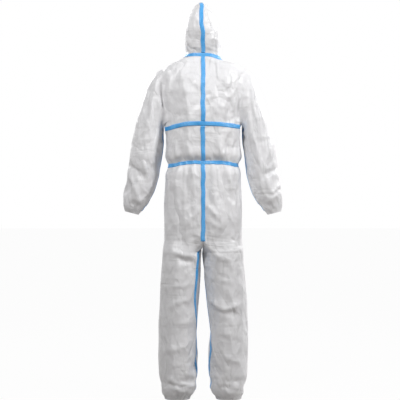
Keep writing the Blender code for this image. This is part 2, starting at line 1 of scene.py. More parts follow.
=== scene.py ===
# %% [markdown]
# # A chemical protective coverall, seen from behind
#
# The coverall is a one-piece hooded suit of thin laminated fabric. Its seams are covered with blue
# tape, and an elastic gathers it at the waist, the wrists, the ankles and round the face. The packed
# CAD model gives the frame: how big each panel is, where it lies and which body carries it. This
# lesson keeps that frame and puts real cloth on it: one net of quads for the whole garment, a short
# cloth simulation for its folds, and then the panels cut out of that net.

# %% Load the frame
import math

import bpy
import numpy as np
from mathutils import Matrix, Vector, noise


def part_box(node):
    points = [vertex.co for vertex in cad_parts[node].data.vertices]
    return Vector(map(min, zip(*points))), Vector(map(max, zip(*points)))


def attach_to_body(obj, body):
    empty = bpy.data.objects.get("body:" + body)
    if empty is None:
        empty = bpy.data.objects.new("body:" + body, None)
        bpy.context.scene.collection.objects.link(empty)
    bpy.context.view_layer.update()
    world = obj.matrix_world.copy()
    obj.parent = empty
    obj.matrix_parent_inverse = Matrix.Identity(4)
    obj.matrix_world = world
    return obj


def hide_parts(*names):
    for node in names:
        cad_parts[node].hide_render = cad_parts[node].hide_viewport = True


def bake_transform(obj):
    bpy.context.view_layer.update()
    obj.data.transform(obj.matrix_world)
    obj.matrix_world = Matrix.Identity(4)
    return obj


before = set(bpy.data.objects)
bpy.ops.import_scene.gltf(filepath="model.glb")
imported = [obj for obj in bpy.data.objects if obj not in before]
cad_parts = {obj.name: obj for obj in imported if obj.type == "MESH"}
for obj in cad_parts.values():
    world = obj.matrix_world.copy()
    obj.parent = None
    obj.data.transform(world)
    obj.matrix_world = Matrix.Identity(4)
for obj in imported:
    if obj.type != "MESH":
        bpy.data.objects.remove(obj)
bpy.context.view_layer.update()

# %% [markdown]
# ## Levels of the garment
#
# A tailor works from levels: ankle, knee, crotch, hip, waist, yoke, armhole, neck and crown. They are
# all read from the boxes of the CAD nodes, so that the cloth meets its tapes where the frame says.

# %% Read the levels from the frame
def low(node, axis=2):
    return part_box(node)[0][axis]


def high(node, axis=2):
    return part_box(node)[1][axis]


def middle(node, axis=2):
    return (low(node, axis) + high(node, axis)) / 2


CROTCH = low("back_tape_seat")
HIP = low("seat_panel_left")
WAIST = middle("waist_tape")
YOKE = middle("yoke_tape")
NECK = middle("neck_tape")
HOOD = low("hood_panel_left")
CROWN = high("hood_panel_left")
THIGH = high("thigh_left")
KNEE_TOP = low("thigh_left")
KNEE_FOOT = high("shin_left")
KNEE = (KNEE_TOP + KNEE_FOOT) / 2
FRONT = -low("zip_teeth_left", 1)
ARMHOLE_FOOT = YOKE + 0.022
ARMHOLE_TOP = NECK - 0.053
print("crotch %.3f  waist %.3f  yoke %.3f  neck %.3f  crown %.3f" % (CROTCH, WAIST, YOKE, NECK, CROWN))

# %% [markdown]
# ## Camera, floor and studio light
#
# The suit is seen square from behind, from chest height and a few metres away. A key lamp stands high
# behind the wearer's right arm, and a second one, higher up on the left, evens out the back. Two
# more light the front, and a weak sky fills in the rest. The floor throws back a little warm light,
# and the camera and glossy rays see it and the sky as white.

# %% Place the camera
def put(name, data):
    """Put a new object with the given data into the scene."""
    made = bpy.data.objects.new(name, data)
    bpy.context.scene.collection.objects.link(made)
    return made


def made_mesh(name, points, faces):
    mesh = bpy.data.meshes.new(name)
    mesh.from_pydata([tuple(p) for p in points], [], faces)
    return mesh


VIEW_CENTRE = (0.0132, 0.871)
VIEW_HEIGHT = 1.76
DISTANCE = 5.0


def add_camera():
    data = bpy.data.cameras.new("studio_camera")
    camera = put("studio_camera", data)
    camera.location = (VIEW_CENTRE[0], DISTANCE, VIEW_CENTRE[1])
    camera.rotation_euler = (math.radians(90), 0.0, math.radians(180))
    data.angle = 2 * math.atan(VIEW_HEIGHT / 2 / DISTANCE)
    data.clip_end = 50
    bpy.context.scene.camera = camera
    return camera


camera = add_camera()
print("camera angle %.2f degrees" % math.degrees(camera.data.angle))

# %% Hang the lamps
def add_lamp(name, place, aim, size, power):
    data = bpy.data.lights.new(name, "AREA")
    data.shape = "RECTANGLE"
    data.size, data.size_y = size
    data.energy = power
    lamp = put(name, data)
    lamp.location = place
    lamp.rotation_euler = (Vector(aim) - Vector(place)).to_track_quat("-Z", "Y").to_euler()


add_lamp("key", (-2.1, 1.15, 2.25), (0.0, 0.0, 1.20), (0.4, 0.6), 42)
add_lamp("fill", (1.1, 1.9, 2.8), (0.0, 0.0, 1.30), (0.4, 0.4), 46)
add_lamp("front_key", (-2.1, -1.6, 2.25), (0.0, 0.0, 1.1), (0.6, 0.9), 46)
add_lamp("front_fill", (1.5, -2.2, 2.3), (0.0, 0.0, 1.1), (0.8, 0.8), 30)

# %% [markdown]
# ## A short way to write shaders
#
# A material is easier to read as sums than as a list of nodes. The class below wraps one output
# socket. Adding or multiplying two of them adds the Math node, and `colour` mixes two colours.

# %% Wrap sockets so that shader maths reads as sums
class Value:
    """One output socket of a node tree, with the arithmetic that makes Math nodes."""

    def __init__(self, tree, socket):
        self.tree = tree
        self.socket = socket

    def math(self, operation, *others):
        made = self.tree.nodes.new("ShaderNodeMath")
        made.operation = operation
        for slot, item in zip(made.inputs, (self, *others)):
            plug(self.tree, slot, item)
        return Value(self.tree, made.outputs[0])

    def __add__(self, other):
        return self.math("ADD", other)

    __radd__ = __add__

    def __sub__(self, other):
        return self.math("SUBTRACT", other)

    def __rsub__(self, other):
        return (self * -1.0) + other

    def __mul__(self, other):
        return self.math("MULTIPLY", other)

    __rmul__ = __mul__

    def clamp(self):
        return self.math("MAXIMUM", 0.0).math("MINIMUM", 1.0)

    def step(self, edge, width):
        """0 below edge, 1 above edge + width, with a straight slope between."""
        return ((self - edge) * (1.0 / width)).clamp()


def plug(tree, slot, item):
    """Link a socket into a slot, or write a plain value on it."""
    if isinstance(item, Value):
        tree.links.new(item.socket, slot)
    elif slot.type == "RGBA":
        slot.default_value = (*item[:3], 1.0)
    else:
        slot.default_value = item


class Finish:
    """A material under construction."""

    def __init__(self, name):
        self.material = bpy.data.materials.new(name)
        self.material.use_nodes = True
        self.tree = self.material.node_tree
        self.shader = self.tree.nodes["Principled BSDF"]

    def node(self, kind, settings=None, output=0, **values):
        """Add a node: its settings come first, then its sockets' values or links."""
        made = self.tree.nodes.new("ShaderNode" + kind)
        for key, value in (settings or {}).items():
            setattr(made, key, value)
        for key, item in values.items():
            plug(self.tree, made.inputs[key.replace("_", " ")], item)
        return Value(self.tree, made.outputs[output])

    def place(self, stretch=(1.0, 1.0, 1.0)):
        """The object's own coordinates in metres, stretched by the given amounts."""
        coordinates = self.node("TexCoord", output=3)
        return self.node("Mapping", Vector=coordinates, Scale=stretch)

    def grain(self, scale, detail=2.0, roughness=0.5, stretch=(1.0, 1.0, 1.0), twist=0.0):
        return self.node("TexNoise", Vector=self.place(stretch), Scale=scale, Detail=detail,
                         Roughness=roughness, Distortion=twist)

    def colour(self, mask, first, second):
        mix = self.tree.nodes.new("ShaderNodeMix")
        mix.data_type = "RGBA"
        plug(self.tree, mix.inputs[0], mask)
        plug(self.tree, mix.inputs[6], first)
        plug(self.tree, mix.inputs[7], second)
        return Value(self.tree, mix.outputs[2])

    def bump(self, height, distance, strength=1.0, below=None):
        made = self.tree.nodes.new("ShaderNodeBump")
        made.inputs["Strength"].default_value = strength
        made.inputs["Distance"].default_value = distance
        plug(self.tree, made.inputs["Height"], height)
        if below:
            plug(self.tree, made.inputs["Normal"], below)
        return Value(self.tree, made.outputs[0])

    def set(self, **values):
        for key, item in values.items():
            plug(self.tree, self.shader.inputs[key.replace("_", " ")], item)
        return self.material


print("shader helpers are ready")

# %% Lay the floor and set the sky
def white_to_the_eye(tree, lit, white, outlet, share):
    """Show the lit shader to the light, and the white one to the camera and to glossy rays."""
    path = tree.nodes.new("ShaderNodeLightPath")
    camera_ray, glossy, through = (Value(tree, path.outputs["Is %s Ray" % kind])
                                   for kind in ("Camera", "Glossy", "Transmission"))
    mix = tree.nodes.new("ShaderNodeMixShader")
    plug(tree, mix.inputs[0], (camera_ray + glossy + through).clamp() * share)
    for outgoing, incoming in ((lit.outputs[0], mix.inputs[1]), (white.outputs[0], mix.inputs[2]),
                               (mix.outputs[0], outlet.inputs["Surface"])):
        tree.links.new(outgoing, incoming)


def add_floor(reach, depth, share):
    corners = [(-reach, -reach, 0), (reach, -reach, 0), (reach, reach, 0), (-reach, reach, 0)]
    floor = put("floor", made_mesh("floor", corners, [(0, 1, 2, 3)]))
    floor.location.z = -depth
    finish = Finish("studio_floor")
    colour = finish.colour(finish.grain(40, 2.0), (0.40, 0.385, 0.37), (0.44, 0.425, 0.41))
    finish.set(Base_Color=colour, Roughness=0.9)
    glow = finish.tree.nodes.new("ShaderNodeEmission")
    glow.inputs["Color"].default_value = (1.0, 1.0, 1.0, 1.0)
    white_to_the_eye(finish.tree, finish.shader, glow, finish.tree.nodes["Material Output"], share)
    floor.data.materials.append(finish.material)


def add_sky(strength):
    world = bpy.data.worlds.new("studio")
    bpy.context.scene.world = world
    world.use_nodes = True
    sky = world.node_tree.nodes["Background"]
    seen = world.node_tree.nodes.new("ShaderNodeBackground")
    for shader in (sky, seen):
        shader.inputs["Color"].default_value = (1.0, 1.0, 1.0, 1.0)
    sky.inputs["Strength"].default_value = strength
    white_to_the_eye(world.node_tree, sky, seen, world.node_tree.nodes["World Output"], 1.0)


add_floor(reach=30.0, depth=0.0015, share=0.97)
add_sky(0.13)
bpy.context.scene.view_settings.view_transform = "Standard"
print("floor, sky and view are set")

# %% [markdown]
# ## The net: one sheet of quads for the whole garment
#
# A real coverall is cut flat and sewn up. Here the sewn-up shape comes first: rings of points go
# round the body, the legs and the sleeves, and quads join them. Rows run exactly along the seams,
# so a panel or a tape is simply a choice of quads. Sections are blunt ovals, and their sizes are
# those of the frame's panels.

# %% Sections of the body, the hood, the sleeves and the legs
# Height, half width, depth of the back, depth of the front.
BODY = (
    (CROTCH - 0.015, 0.177, 0.112, 0.100), (HIP - 0.060, 0.177, 0.124, 0.114),
    (HIP, 0.179, 0.128, FRONT), (HIP + 0.060, 0.181, 0.129, FRONT), (HIP + 0.140, 0.177, 0.125, FRONT),
    (WAIST - 0.044, 0.171, 0.117, FRONT), (WAIST, 0.156, 0.104, FRONT), (WAIST + 0.041, 0.163, 0.114, FRONT),
    (YOKE, 0.166, 0.124, FRONT), (YOKE + 0.100, 0.174, 0.129, FRONT),
    (ARMHOLE_TOP - 0.060, 0.179, 0.122, FRONT), (ARMHOLE_TOP, 0.178, 0.103, FRONT),
    (NECK - 0.036, 0.162, 0.096, FRONT),
    (NECK - 0.020, 0.117, 0.086, FRONT - 0.006), (NECK, 0.073, 0.072, FRONT - 0.018),
    (NECK + 0.032, 0.077, 0.085, FRONT - 0.020), (HOOD, 0.081, 0.098, FRONT - 0.022),
    (HOOD + 0.045, 0.080, 0.112, 0.110), (CROWN - 0.089, 0.070, 0.112, 0.116),
    (CROWN - 0.059, 0.058, 0.104, 0.116), (CROWN - 0.032, 0.043, 0.088, 0.110),
    (CROWN - 0.014, 0.027, 0.068, 0.102),
)
ELBOW = NECK - 0.503
# Outer x and z, inner x and z, half depth, from the armhole to the wrist.
ARM = (
    (0.182, ARMHOLE_TOP - 0.002, 0.166, ARMHOLE_FOOT + 0.004, 0.080),
    (0.216, NECK - 0.062, 0.176, NECK - 0.292, 0.083), (0.258, NECK - 0.153, 0.177, NECK - 0.320, 0.086),
    (0.291, NECK - 0.252, 0.178, NECK - 0.350, 0.081), (0.317, NECK - 0.360, 0.178, NECK - 0.380, 0.076),
    (0.326, NECK - 0.422, 0.186, NECK - 0.442, 0.073), (0.336, ELBOW + 0.014, 0.196, ELBOW - 0.014, 0.070),
    (0.346, ELBOW - 0.055, 0.216, ELBOW - 0.087, 0.066), (0.352, ELBOW - 0.107, 0.242, ELBOW - 0.139, 0.058),
    (0.350, ELBOW - 0.146, 0.264, ELBOW - 0.168, 0.047), (0.3455, ELBOW - 0.166, 0.281, ELBOW - 0.184, 0.036),
    (0.344, ELBOW - 0.173, 0.283, ELBOW - 0.189, 0.034),
)
# Height, centre x, half width, half depth, centre y.
LEG = (
    (0.000, 0.1125, 0.056, 0.060, 0.006), (0.010, 0.1125, 0.056, 0.060, 0.006),
    (0.024, 0.1100, 0.070, 0.075, 0.006), (0.050, 0.1070, 0.077, 0.083, 0.006),
    (0.110, 0.1080, 0.084, 0.090, 0.006), (0.200, 0.1090, 0.088, 0.094, 0.005),
    (KNEE_FOOT, 0.1100, 0.087, 0.097, 0.004), (KNEE, 0.1060, 0.090, 0.100, 0.003),
    (KNEE_TOP, 0.0990, 0.092, 0.104, 0.004), (THIGH, 0.0945, 0.090, 0.108, 0.005),
    (THIGH + 0.055, 0.0925, 0.0905, 0.110, 0.006),
)
BLUNTNESS = 0.80
HALF_TAPE = 0.009
SLOT = 0.006
print("sections: body %d, arm %d, leg %d" % (len(BODY), len(ARM), len(LEG)))


# %% Read a section between two rows of a table, with its corners eased
def sizes_at(table, height, ease=0.010):
    rows = np.array(table)
    total = np.zeros(rows.shape[1] - 1)
    for shift in (-ease, 0.0, ease):
        total += [np.interp(height + shift, rows[:, 0], rows[:, k]) for k in range(1, rows.shape[1])]
    return total / 3


def along(points, count):
    """Points spaced evenly along a line of points, both ends kept."""
    points = np.asarray(points, float)
    steps = np.linalg.norm(np.diff(points, axis=0), axis=1)
    length = np.concatenate([[0.0], np.cumsum(steps)])
    places = np.linspace(0.0, length[-1], count)
    return np.stack([np.interp(places, length, points[:, k]) for k in range(points.shape[1])], axis=1)


def levels_between(fixed, profile, cell):
    """Heights that hit every fixed level and lie about one cell apart along the profile."""
    heights = []
    for lower, upper in zip(fixed, fixed[1:]):
        line = np.array([(profile(z), z) for z in np.linspace(lower, upper, 25)])
        length = np.linalg.norm(np.diff(line, axis=0), axis=1).sum()
        steps = max(1, round(length / cell))
        heights += list(along(line, steps + 1)[:-1, 1])
    return heights + [fixed[-1]]


# %% [markdown]
# The columns of a body ring are numbered from the centre back, round the wearer's left side, to the
# centre front and back round the right side. The armhole is a rectangle of quads left out, and a
# sleeve grows out of its edge.

# %% Number the columns and rows of the body
CELL = 0.0104
HALF = 48  # quads from the centre back to the centre front
RING = 2 * HALF
INNER = 16  # quads of a leg's ring between its front and back at the centre
ARM_FIRST, ARM_LAST = 14, 28  # columns between which the armhole lies


def half_outline(height):
    """Half of a body ring, from the centre back to the centre front."""
    width, back, front = sizes_at(BODY, height)
    angles = np.radians(np.linspace(3, 152, 90))
    x = width * np.sin(angles) ** BLUNTNESS
    y = np.copysign(np.where(angles < math.pi / 2, back, front) * np.abs(np.cos(angles)) ** BLUNTNESS,
                    np.cos(angles))
    arc = [(a, b) for a, b in zip(x, y) if a > HALF_TAPE * 1.3]
    flat = min(0.05, width * 0.55)
    line = [(HALF_TAPE, back)] + arc + [(flat, -front), (SLOT, -front)]
    points = along(line, HALF - 1)
    return np.vstack([[(0.0, back)], points, [(0.0, -front)]])


body_levels = [CROTCH, HIP, WAIST - 0.0075, WAIST, WAIST + 0.0075, YOKE - HALF_TAPE, YOKE, YOKE + HALF_TAPE,
               ARMHOLE_FOOT, ARMHOLE_TOP, NECK - HALF_TAPE, NECK, NECK + HALF_TAPE, HOOD]
body_rows = levels_between(body_levels, lambda z: sizes_at(BODY, z)[0], CELL)
hood_rows = levels_between([HOOD, CROWN - 0.013], lambda z: sizes_at(BODY, z)[0], CELL)[1:]


def row_of(height):
    return int(np.argmin([abs(z - height) for z in body_rows]))


ROW = {name: row_of(z) for name, z in (("hip", HIP), ("waist", WAIST), ("yoke", YOKE),
                                       ("foot", ARMHOLE_FOOT), ("top", ARMHOLE_TOP), ("neck", NECK))}
FACE = round(HALF * 0.79)  # the column of the hood's face edge
print("body rows", len(body_rows), "hood rows", len(hood_rows), "named rows", ROW)


# %% Keep points, quads and labels of the net in one place
class Net:
    def __init__(self):
        self.points = []
        self.quads = []
        self.labels = []

    def add(self, point):
        self.points.append(tuple(float(a) for a in point))
        return len(self.points) - 1

    def quad(self, corners, side, **label):
        """One quad, facing out; the mirrored side turns the other way round."""
        self.quads.append(tuple(corners) if side > 0 else tuple(reversed(corners)))
        self.labels.append(dict(side=side, **label))


net = Net()
body = {}  # (row, column) of a body point, with the column from 0 to RING - 1


def body_point(row, column):
    return body[(row, column % RING)]


def in_armhole(row, column):
    return ROW["foot"] < row < ROW["top"] and ARM_FIRST < column < ARM_LAST


for r, z in enumerate(body_rows):
    half = half_outline(z)
    for c in range(HALF + 1):
        if in_armhole(r, c):
            continue
        x, y = half[c]
        body[(r, c)] = net.add((x, y, z))
        if 0 < c < HALF:
            body[(r, RING - c)] = net.add((-x, y, z))
print("body points", len(net.points))


# %% Join the body's points with quads
ZIP_ROWS = (row_of(low("zip_teeth_left")), row_of(high("zip_teeth_left")))


def body_label(row):
    if row < ROW["waist"]:
        return "seat"
    if row < ROW["yoke"]:
        return "waist"
    return "yoke" if row < ROW["neck"] else "hood"


for r in range(len(body_rows) - 1):
    for c in range(HALF):
        if ROW["foot"] <= r < ROW["top"] and ARM_FIRST <= c < ARM_LAST:
            continue
        if c == HALF - 1 and ZIP_ROWS[0] <= r < ZIP_ROWS[1]:
            continue
        for side in (1, -1):
            near, far = side * c, side * (c + 1)
            places = ((r + 1, near), (r + 1, far), (r, far), (r, near))
            net.quad([body_point(*place) for place in places], side, part=body_label(r), row=r, column=c)
print("body quads", len(net.quads))


# %% Grow the hood up to its crest
CREST_BACK, CREST_FRONT = 0.045, 0.095
first_hood = len(body_rows)
hood = {(first_hood - 1, c): body_point(first_hood - 1, c) for c in range(-FACE, FACE + 1)}
for k, z in enumerate(hood_rows):
    half = half_outline(z)
    r = first_hood + k
    for c in range(FACE + 1):
        x, y = half[c]
        hood[(r, c)] = net.add((x, y, z))
        hood[(r, -c)] = hood[(r, c)] if c == 0 else net.add((-x, y, z))
crest_row = first_hood + len(hood_rows) + 1
for c in range(FACE + 1):
    share = c / FACE
    y = CREST_BACK - share * (CREST_BACK + CREST_FRONT)
    z = CROWN - 0.001 - 0.010 * share ** 2
    edge = (0.0 if c == 0 else HALF_TAPE, y + (0.012 if c == 0 else 0.0), z - (0.006 if c == 0 else 0.0025))
    hood[(crest_row - 1, c)] = net.add(edge)
    hood[(crest_row - 1, -c)] = hood[(crest_row - 1, c)] if c == 0 else net.add((-edge[0], *edge[1:]))
    hood[(crest_row, c)] = hood[(crest_row, -c)] = net.add((0.0, y, z))
for r in range(first_hood - 1, crest_row):
    for c in range(FACE):
        for side in (1, -1):
            corners = [hood[(r, side * c)], hood[(r, side * (c + 1))], hood[(r + 1, side * (c + 1))],
                       hood[(r + 1, side * c)]]
            net.quad(corners[::-1], side, part="hood", row=r, column=c)
print("with the hood:", len(net.points), "points")


# %% [markdown]
# A leg's ring takes the 48 outer quads of the hip and adds 16 more along the crotch. The crotch line
# itself lies in the centre plane, and both legs hang from it.

# %% Hang the legs
leg_rows = levels_between([0.0, 0.010, 0.024, CROTCH - 0.045], lambda z: sizes_at(LEG, z)[1], CELL)[::-1]
EASE_ROWS = 4


def seam_turn(height, side):
    """How far the inner seam has turned to the back on the worn suit, in degrees."""
    if side > 0:
        return 12 + 30 * min(1.0, max(0.0, (height - KNEE + 0.14) / 0.17))
    return 6 + 20 * math.exp(-((height - 0.22) / 0.06) ** 2)


def leg_ring(height, side):
    """A leg's ring, from the centre back round the outer side."""
    centre_x, half_width, half_depth, centre_y = sizes_at(LEG, height, 0.006)
    share = min(1.0, max(0.0, (CROTCH - height) / 0.30))
    start = -32 - 13 * share
    outer = np.linspace(start, 180 - start, HALF + 1)
    tape = math.degrees(math.asin(HALF_TAPE / half_depth))
    seam = 270 + seam_turn(height, side)
    front = np.linspace(180 - start, seam - tape, INNER // 2)[1:]
    back = np.linspace(seam + tape, 360 + start, INNER // 2)[:-1]
    angles = np.radians(np.concatenate([outer, front, [seam], back]))
    x = np.maximum(centre_x + half_width * np.sin(angles), 0.0010)
    y = centre_y + half_depth * np.cos(angles)
    return np.stack([x, y, np.full(len(x), height)], axis=1)


def crotch_line():
    back, front = body_point(0, 0), body_point(0, HALF)
    line = {HALF: front, HALF + INNER: back}
    y_back, y_front = net.points[back][1], net.points[front][1]
    for k in range(1, INNER):
        share = k / INNER
        drop = 0.014 * math.sin(math.pi * share)
        line[HALF + k] = net.add((0.0, y_front + (y_back - y_front) * share, CROTCH - drop))
    return line


crotch = crotch_line()
LEG_RING = HALF + INNER
legs = {}
for side in (1, -1):
    top = [body_point(0, side * c) for c in range(HALF + 1)] + [crotch[HALF + k] for k in range(1, INNER)]
    upper = np.array([net.points[i] for i in top]) * (side, 1, 1)
    rings = [dict(enumerate(top))]
    below = leg_ring(leg_rows[0], side)
    eased = [upper + (below - upper) * (k / EASE_ROWS) for k in range(1, EASE_ROWS)]
    for points in eased + [leg_ring(z, side) for z in leg_rows]:
        rings.append({c: net.add((side * max(p[0], 0.0010), p[1], p[2])) for c, p in enumerate(points)})
    legs[side] = rings
    for r, (above, under) in enumerate(zip(rings, rings[1:])):
        for c in range(LEG_RING):
            d = (c + 1) % LEG_RING
            height = net.points[under[c]][2]
            part = "seat" if height > KNEE_TOP + 0.040 else "knee"
            net.quad((above[c], above[d], under[d], under[c]), side, part=part, leg_row=r, column=c)
print("with the legs:", len(net.points), "points,", len(legs[1]), "rings a leg")


# %% Set in the sleeves
def armhole_edge(side):
    """The armhole's edge, from the middle of its foot up the back, over the top and down the front."""
    centre = (ARM_FIRST + ARM_LAST) // 2
    foot, top = ROW["foot"], ROW["top"]
    path = [(foot, c) for c in range(centre, ARM_FIRST, -1)]
    path += [(r, ARM_FIRST) for r in range(foot, top)]
    path += [(top, c) for c in range(ARM_FIRST, ARM_LAST)]
    path += [(r, ARM_LAST) for r in range(top, foot, -1)]
    path += [(foot, c) for c in range(ARM_LAST, centre, -1)]
    return [body_point(r, side * c) for r, c in path]


def arm_ring(share, count):
    """A sleeve's ring at a share of the way from the armhole to the wrist."""
    table = np.array(ARM)
    length = np.linalg.norm(np.diff((table[:, 0:2] + table[:, 2:4]) / 2, axis=0), axis=1)
    table = np.column_stack([np.concatenate([[0.0], np.cumsum(length)]) / length.sum(), table])
    outer_x, outer_z, inner_x, inner_z, half_depth = sizes_at(table, share, 0.012 if share < 0.95 else 0.0)
    tape = math.degrees(math.asin(HALF_TAPE / half_depth))
    angles = np.radians(np.concatenate([[270.0], np.linspace(270 + tape, 630 - tape, count - 1)]))
    across = np.sin(angles)
    x = (outer_x + inner_x) / 2 + across * (outer_x - inner_x) / 2
    z = (outer_z + inner_z) / 2 + across * (outer_z - inner_z) / 2
    return np.stack([x, half_depth * np.cos(angles), z], axis=1)


SLEEVE_ROWS = 56
SLEEVE_CUT = 32  # the row where the upper piece of the sleeve ends
HEM_ROWS = 2
sleeves = {}
for side in (1, -1):
    edge = armhole_edge(side)
    count = len(edge)
    rings = [dict(enumerate(edge))]
    loop = np.array([net.points[i] for i in edge]) * (side, 1, 1)
    for r in range(1, SLEEVE_ROWS + 1):
        share = r / SLEEVE_ROWS
        points = arm_ring(share, count)
        hold = max(0.0, 1 - r / 9) ** 2
        points = points + (loop - arm_ring(0.0, count)) * hold
        rings.append({c: net.add((side * p[0], p[1], p[2])) for c, p in enumerate(points)})
    sleeves[side] = rings
    for r, (above, under) in enumerate(zip(rings, rings[1:])):
        for c in range(count):
            d = (c + 1) % count
            part = "yoke" if r < SLEEVE_CUT else "forearm"
            net.quad((above[d], above[c], under[c], under[d])[::-1], side, part=part, arm_row=r, column=c)
shape = np.array(net.points)
print("whole net:", len(net.points), "points and", len(net.quads), "quads")

# %% [markdown]
# ## Cloth: more fabric than shape
#
# A coverall is cut wider and longer than the body, and its elastics pull the extra width together.
# So the simulation gets two shapes of the same net. The first is the net as it hangs. The second,
# used only for the rest lengths of the cloth springs, is a few parts in a hundred wider and longer,
# and much wider at the elastics. The springs push the spare fabric out into folds, while the
# elastics, the zip and the neck stay pinned and the rest is held loosely, as a wearer holds it.

# %% Weights that fall off along the net
def neighbours(quads):
    pairs = np.array([(q[k], q[(k + 1) % 4]) for q in quads for k in range(4)])
    return np.unique(np.sort(pairs, axis=1), axis=0)


edges = neighbours(net.quads)
EDGE_A = np.concatenate([edges[:, 0], edges[:, 1]])
EDGE_B = np.concatenate([edges[:, 1], edges[:, 0]])
DEGREE = np.bincount(EDGE_A, minlength=len(shape)).astype(float)


def relax(values, fixed, turns):
    """Average each point with its neighbours again and again, with the fixed ones left as they are."""
    values = np.array(values, float)
    flat = values.reshape(len(values), -1)
    free = ~fixed
    for _ in range(turns):
        sums = [np.bincount(EDGE_A, flat[EDGE_B, k], len(flat)) for k in range(flat.shape[1])]
        flat[free] = (np.stack(sums, axis=1) / DEGREE[:, None])[free]
    return flat.reshape(values.shape)


def slope(value, start, end):
    """0 at start, 1 at end, and smooth between."""
    t = np.clip((value - start) / (end - start), 0.0, 1.0)
    return t * t * (3 - 2 * t)


on_sleeve = np.zeros(len(shape))
on_leg = np.zeros(len(shape))
for side in (1, -1):
    for r, ring in enumerate(sleeves[side]):
        for index in ring.values():
            on_sleeve[index] = max(on_sleeve[index], r / SLEEVE_ROWS)
    for r, ring in enumerate(legs[side][1:], 1):
        for index in ring.values():
            on_leg[index] = max(on_leg[index], r / (len(legs[side]) - 1))
print("edges", len(edges), "sleeve points", int((on_sleeve > 0).sum()), "leg points", int((on_leg > 0).sum()))

# %% Ease the corners where the sleeves are set in
near_armhole = np.zeros(len(shape), bool)
for side in (1, -1):
    for ring in sleeves[side][:5]:
        near_armhole[list(ring.values())] = True
for _ in range(3):
    touched = np.zeros(len(shape), bool)
    touched[EDGE_A[near_armhole[EDGE_B]]] = True
    near_armhole |= touched
near_armhole &= ~((np.abs(shape[:, 0]) < 0.060) & (shape[:, 1] < 0))
shape = relax(shape, ~near_armhole, 3)
print("eased points at the armholes:", int(near_armhole.sum()))

# %% Centres about which the cloth is let out
centre = np.zeros_like(shape)
for side in (1, -1):
    for ring in sleeves[side][1:] + legs[side][1:]:
        index = list(ring.values())
        centre[index] = shape[index].mean(axis=0)

waist_pull = np.exp(-((shape[:, 2] - WAIST) / 0.030) ** 2) * (on_sleeve == 0) * (on_leg == 0)
wrist_pull = slope(on_sleeve, 0.86, 0.99)
ankle_pull = slope(shape[:, 2], 0.060, 0.010) * (on_leg > 0)
ROUND, LONG = 0.055, 0.025  # how much wider and longer than the body the cloth is cut
BLOUSED, OVER_ANKLE, OVER_WRIST = 0.018, 0.045, 0.055  # spare length that bags at an elastic, in metres
hips = slope(shape[:, 2], WAIST - 0.05, WAIST - 0.12) * slope(shape[:, 2], CROTCH, CROTCH + 0.11)
hips = hips * (on_leg == 0)
grow_body = ROUND * (1 - 0.45 * hips) + 0.110 * waist_pull
grow_sleeve = 0.045 + 0.55 * wrist_pull
grow_leg = ROUND + 0.010 + 0.40 * ankle_pull
flat = np.array([1.0, 1.0, 0.0])
out_body = (shape * flat) * grow_body[:, None]
out_sleeve = (shape - centre) * grow_sleeve[:, None]
out_leg = (shape - centre) * flat * grow_leg[:, None]
share_sleeve = slope(on_sleeve, 0.0, 0.22)[:, None]
share_leg = slope(on_leg, 0.0, 0.15)[:, None]
out = out_body * (1 - share_sleeve) * (1 - share_leg) + out_sleeve * share_sleeve + out_leg * share_leg
out[:, 0] *= slope(np.abs(shape[:, 0]), 0.0, 0.004)
cut = shape + out
cut[:, 2] += LONG * (shape[:, 2] - NECK) * (shape[:, 2] < NECK)
cut[:, 2] -= BLOUSED * slope(shape[:, 2], YOKE - 0.02, WAIST + 0.01) * (1 - share_sleeve[:, 0])
cut[:, 2] -= OVER_ANKLE * slope(shape[:, 2], 0.26, 0.02) * (on_leg > 0)
cut[:, 2] -= OVER_WRIST * slope(on_sleeve, 0.45, 1.0)
CRUMPLE_SEED = 7  # without a seed, noise_vector draws from the clock
noise.seed_set(CRUMPLE_SEED)
crumple = np.array([noise.noise_vector(Vector(p) * 11.0) for p in shape])
print("fabric is let out by up to %.0f mm" % (np.linalg.norm(cut - shape, axis=1).max() * 1000))

# %% Say what is held, and how firmly
LOOSE_HOLD = 0.09
pin = np.full(len(shape), LOOSE_HOLD)
beside_zip = (np.abs(shape[:, 0]) < 0.052) & (shape[:, 1] < -FRONT + 0.004)
pin[beside_zip & (shape[:, 2] > low("storm_flap") - 0.015)] = 1.0
shoulders = slope(shape[:, 2], ARMHOLE_TOP - 0.10, ARMHOLE_TOP - 0.01)
shoulders = shoulders * slope(np.abs(shape[:, 0]), 0.05, 0.10)
pin = np.maximum(pin, 0.60 * shoulders)
hood_points = shape[:, 2] > NECK - 0.004
pin[hood_points] = 0.45
pin[np.abs(shape[:, 2] - NECK) < 0.004] = 0.8
pin[(shape[:, 2] > CROWN - 0.015)] = 0.7
pin[[hood[(crest_row, c)] for c in range(FACE + 1)]] = 1.0
for r in range(first_hood - 1, crest_row):
    pin[[hood[(r, FACE)], hood[(r, -FACE)]]] = 1.0
for column in range(FACE, RING - FACE + 1):
    pin[body_point(first_hood - 1, column)] = 1.0
pin[[body_point(ROW["waist"], c) for c in range(RING)]] = 0.75
for side in (1, -1):
    for ring in sleeves[side][-HEM_ROWS:] + legs[side][-HEM_ROWS:]:
        pin[list(ring.values())] = 1.0
print("held firmly:", int((pin > 0.99).sum()), "points")


# %% Run the cloth simulation
FRAMES = 30
SPRINGS = {
    "quality": 5, "mass": 0.10, "tension_stiffness": 18, "compression_stiffness": 18, "shear_stiffness": 6,
    "bending_stiffness": 0.25, "tension_damping": 6, "compression_damping": 6, "shear_damping": 4,
    "bending_damping": 0.6, "air_damping": 1.5, "vertex_group_mass": "held", "pin_stiffness": 1.0,
}


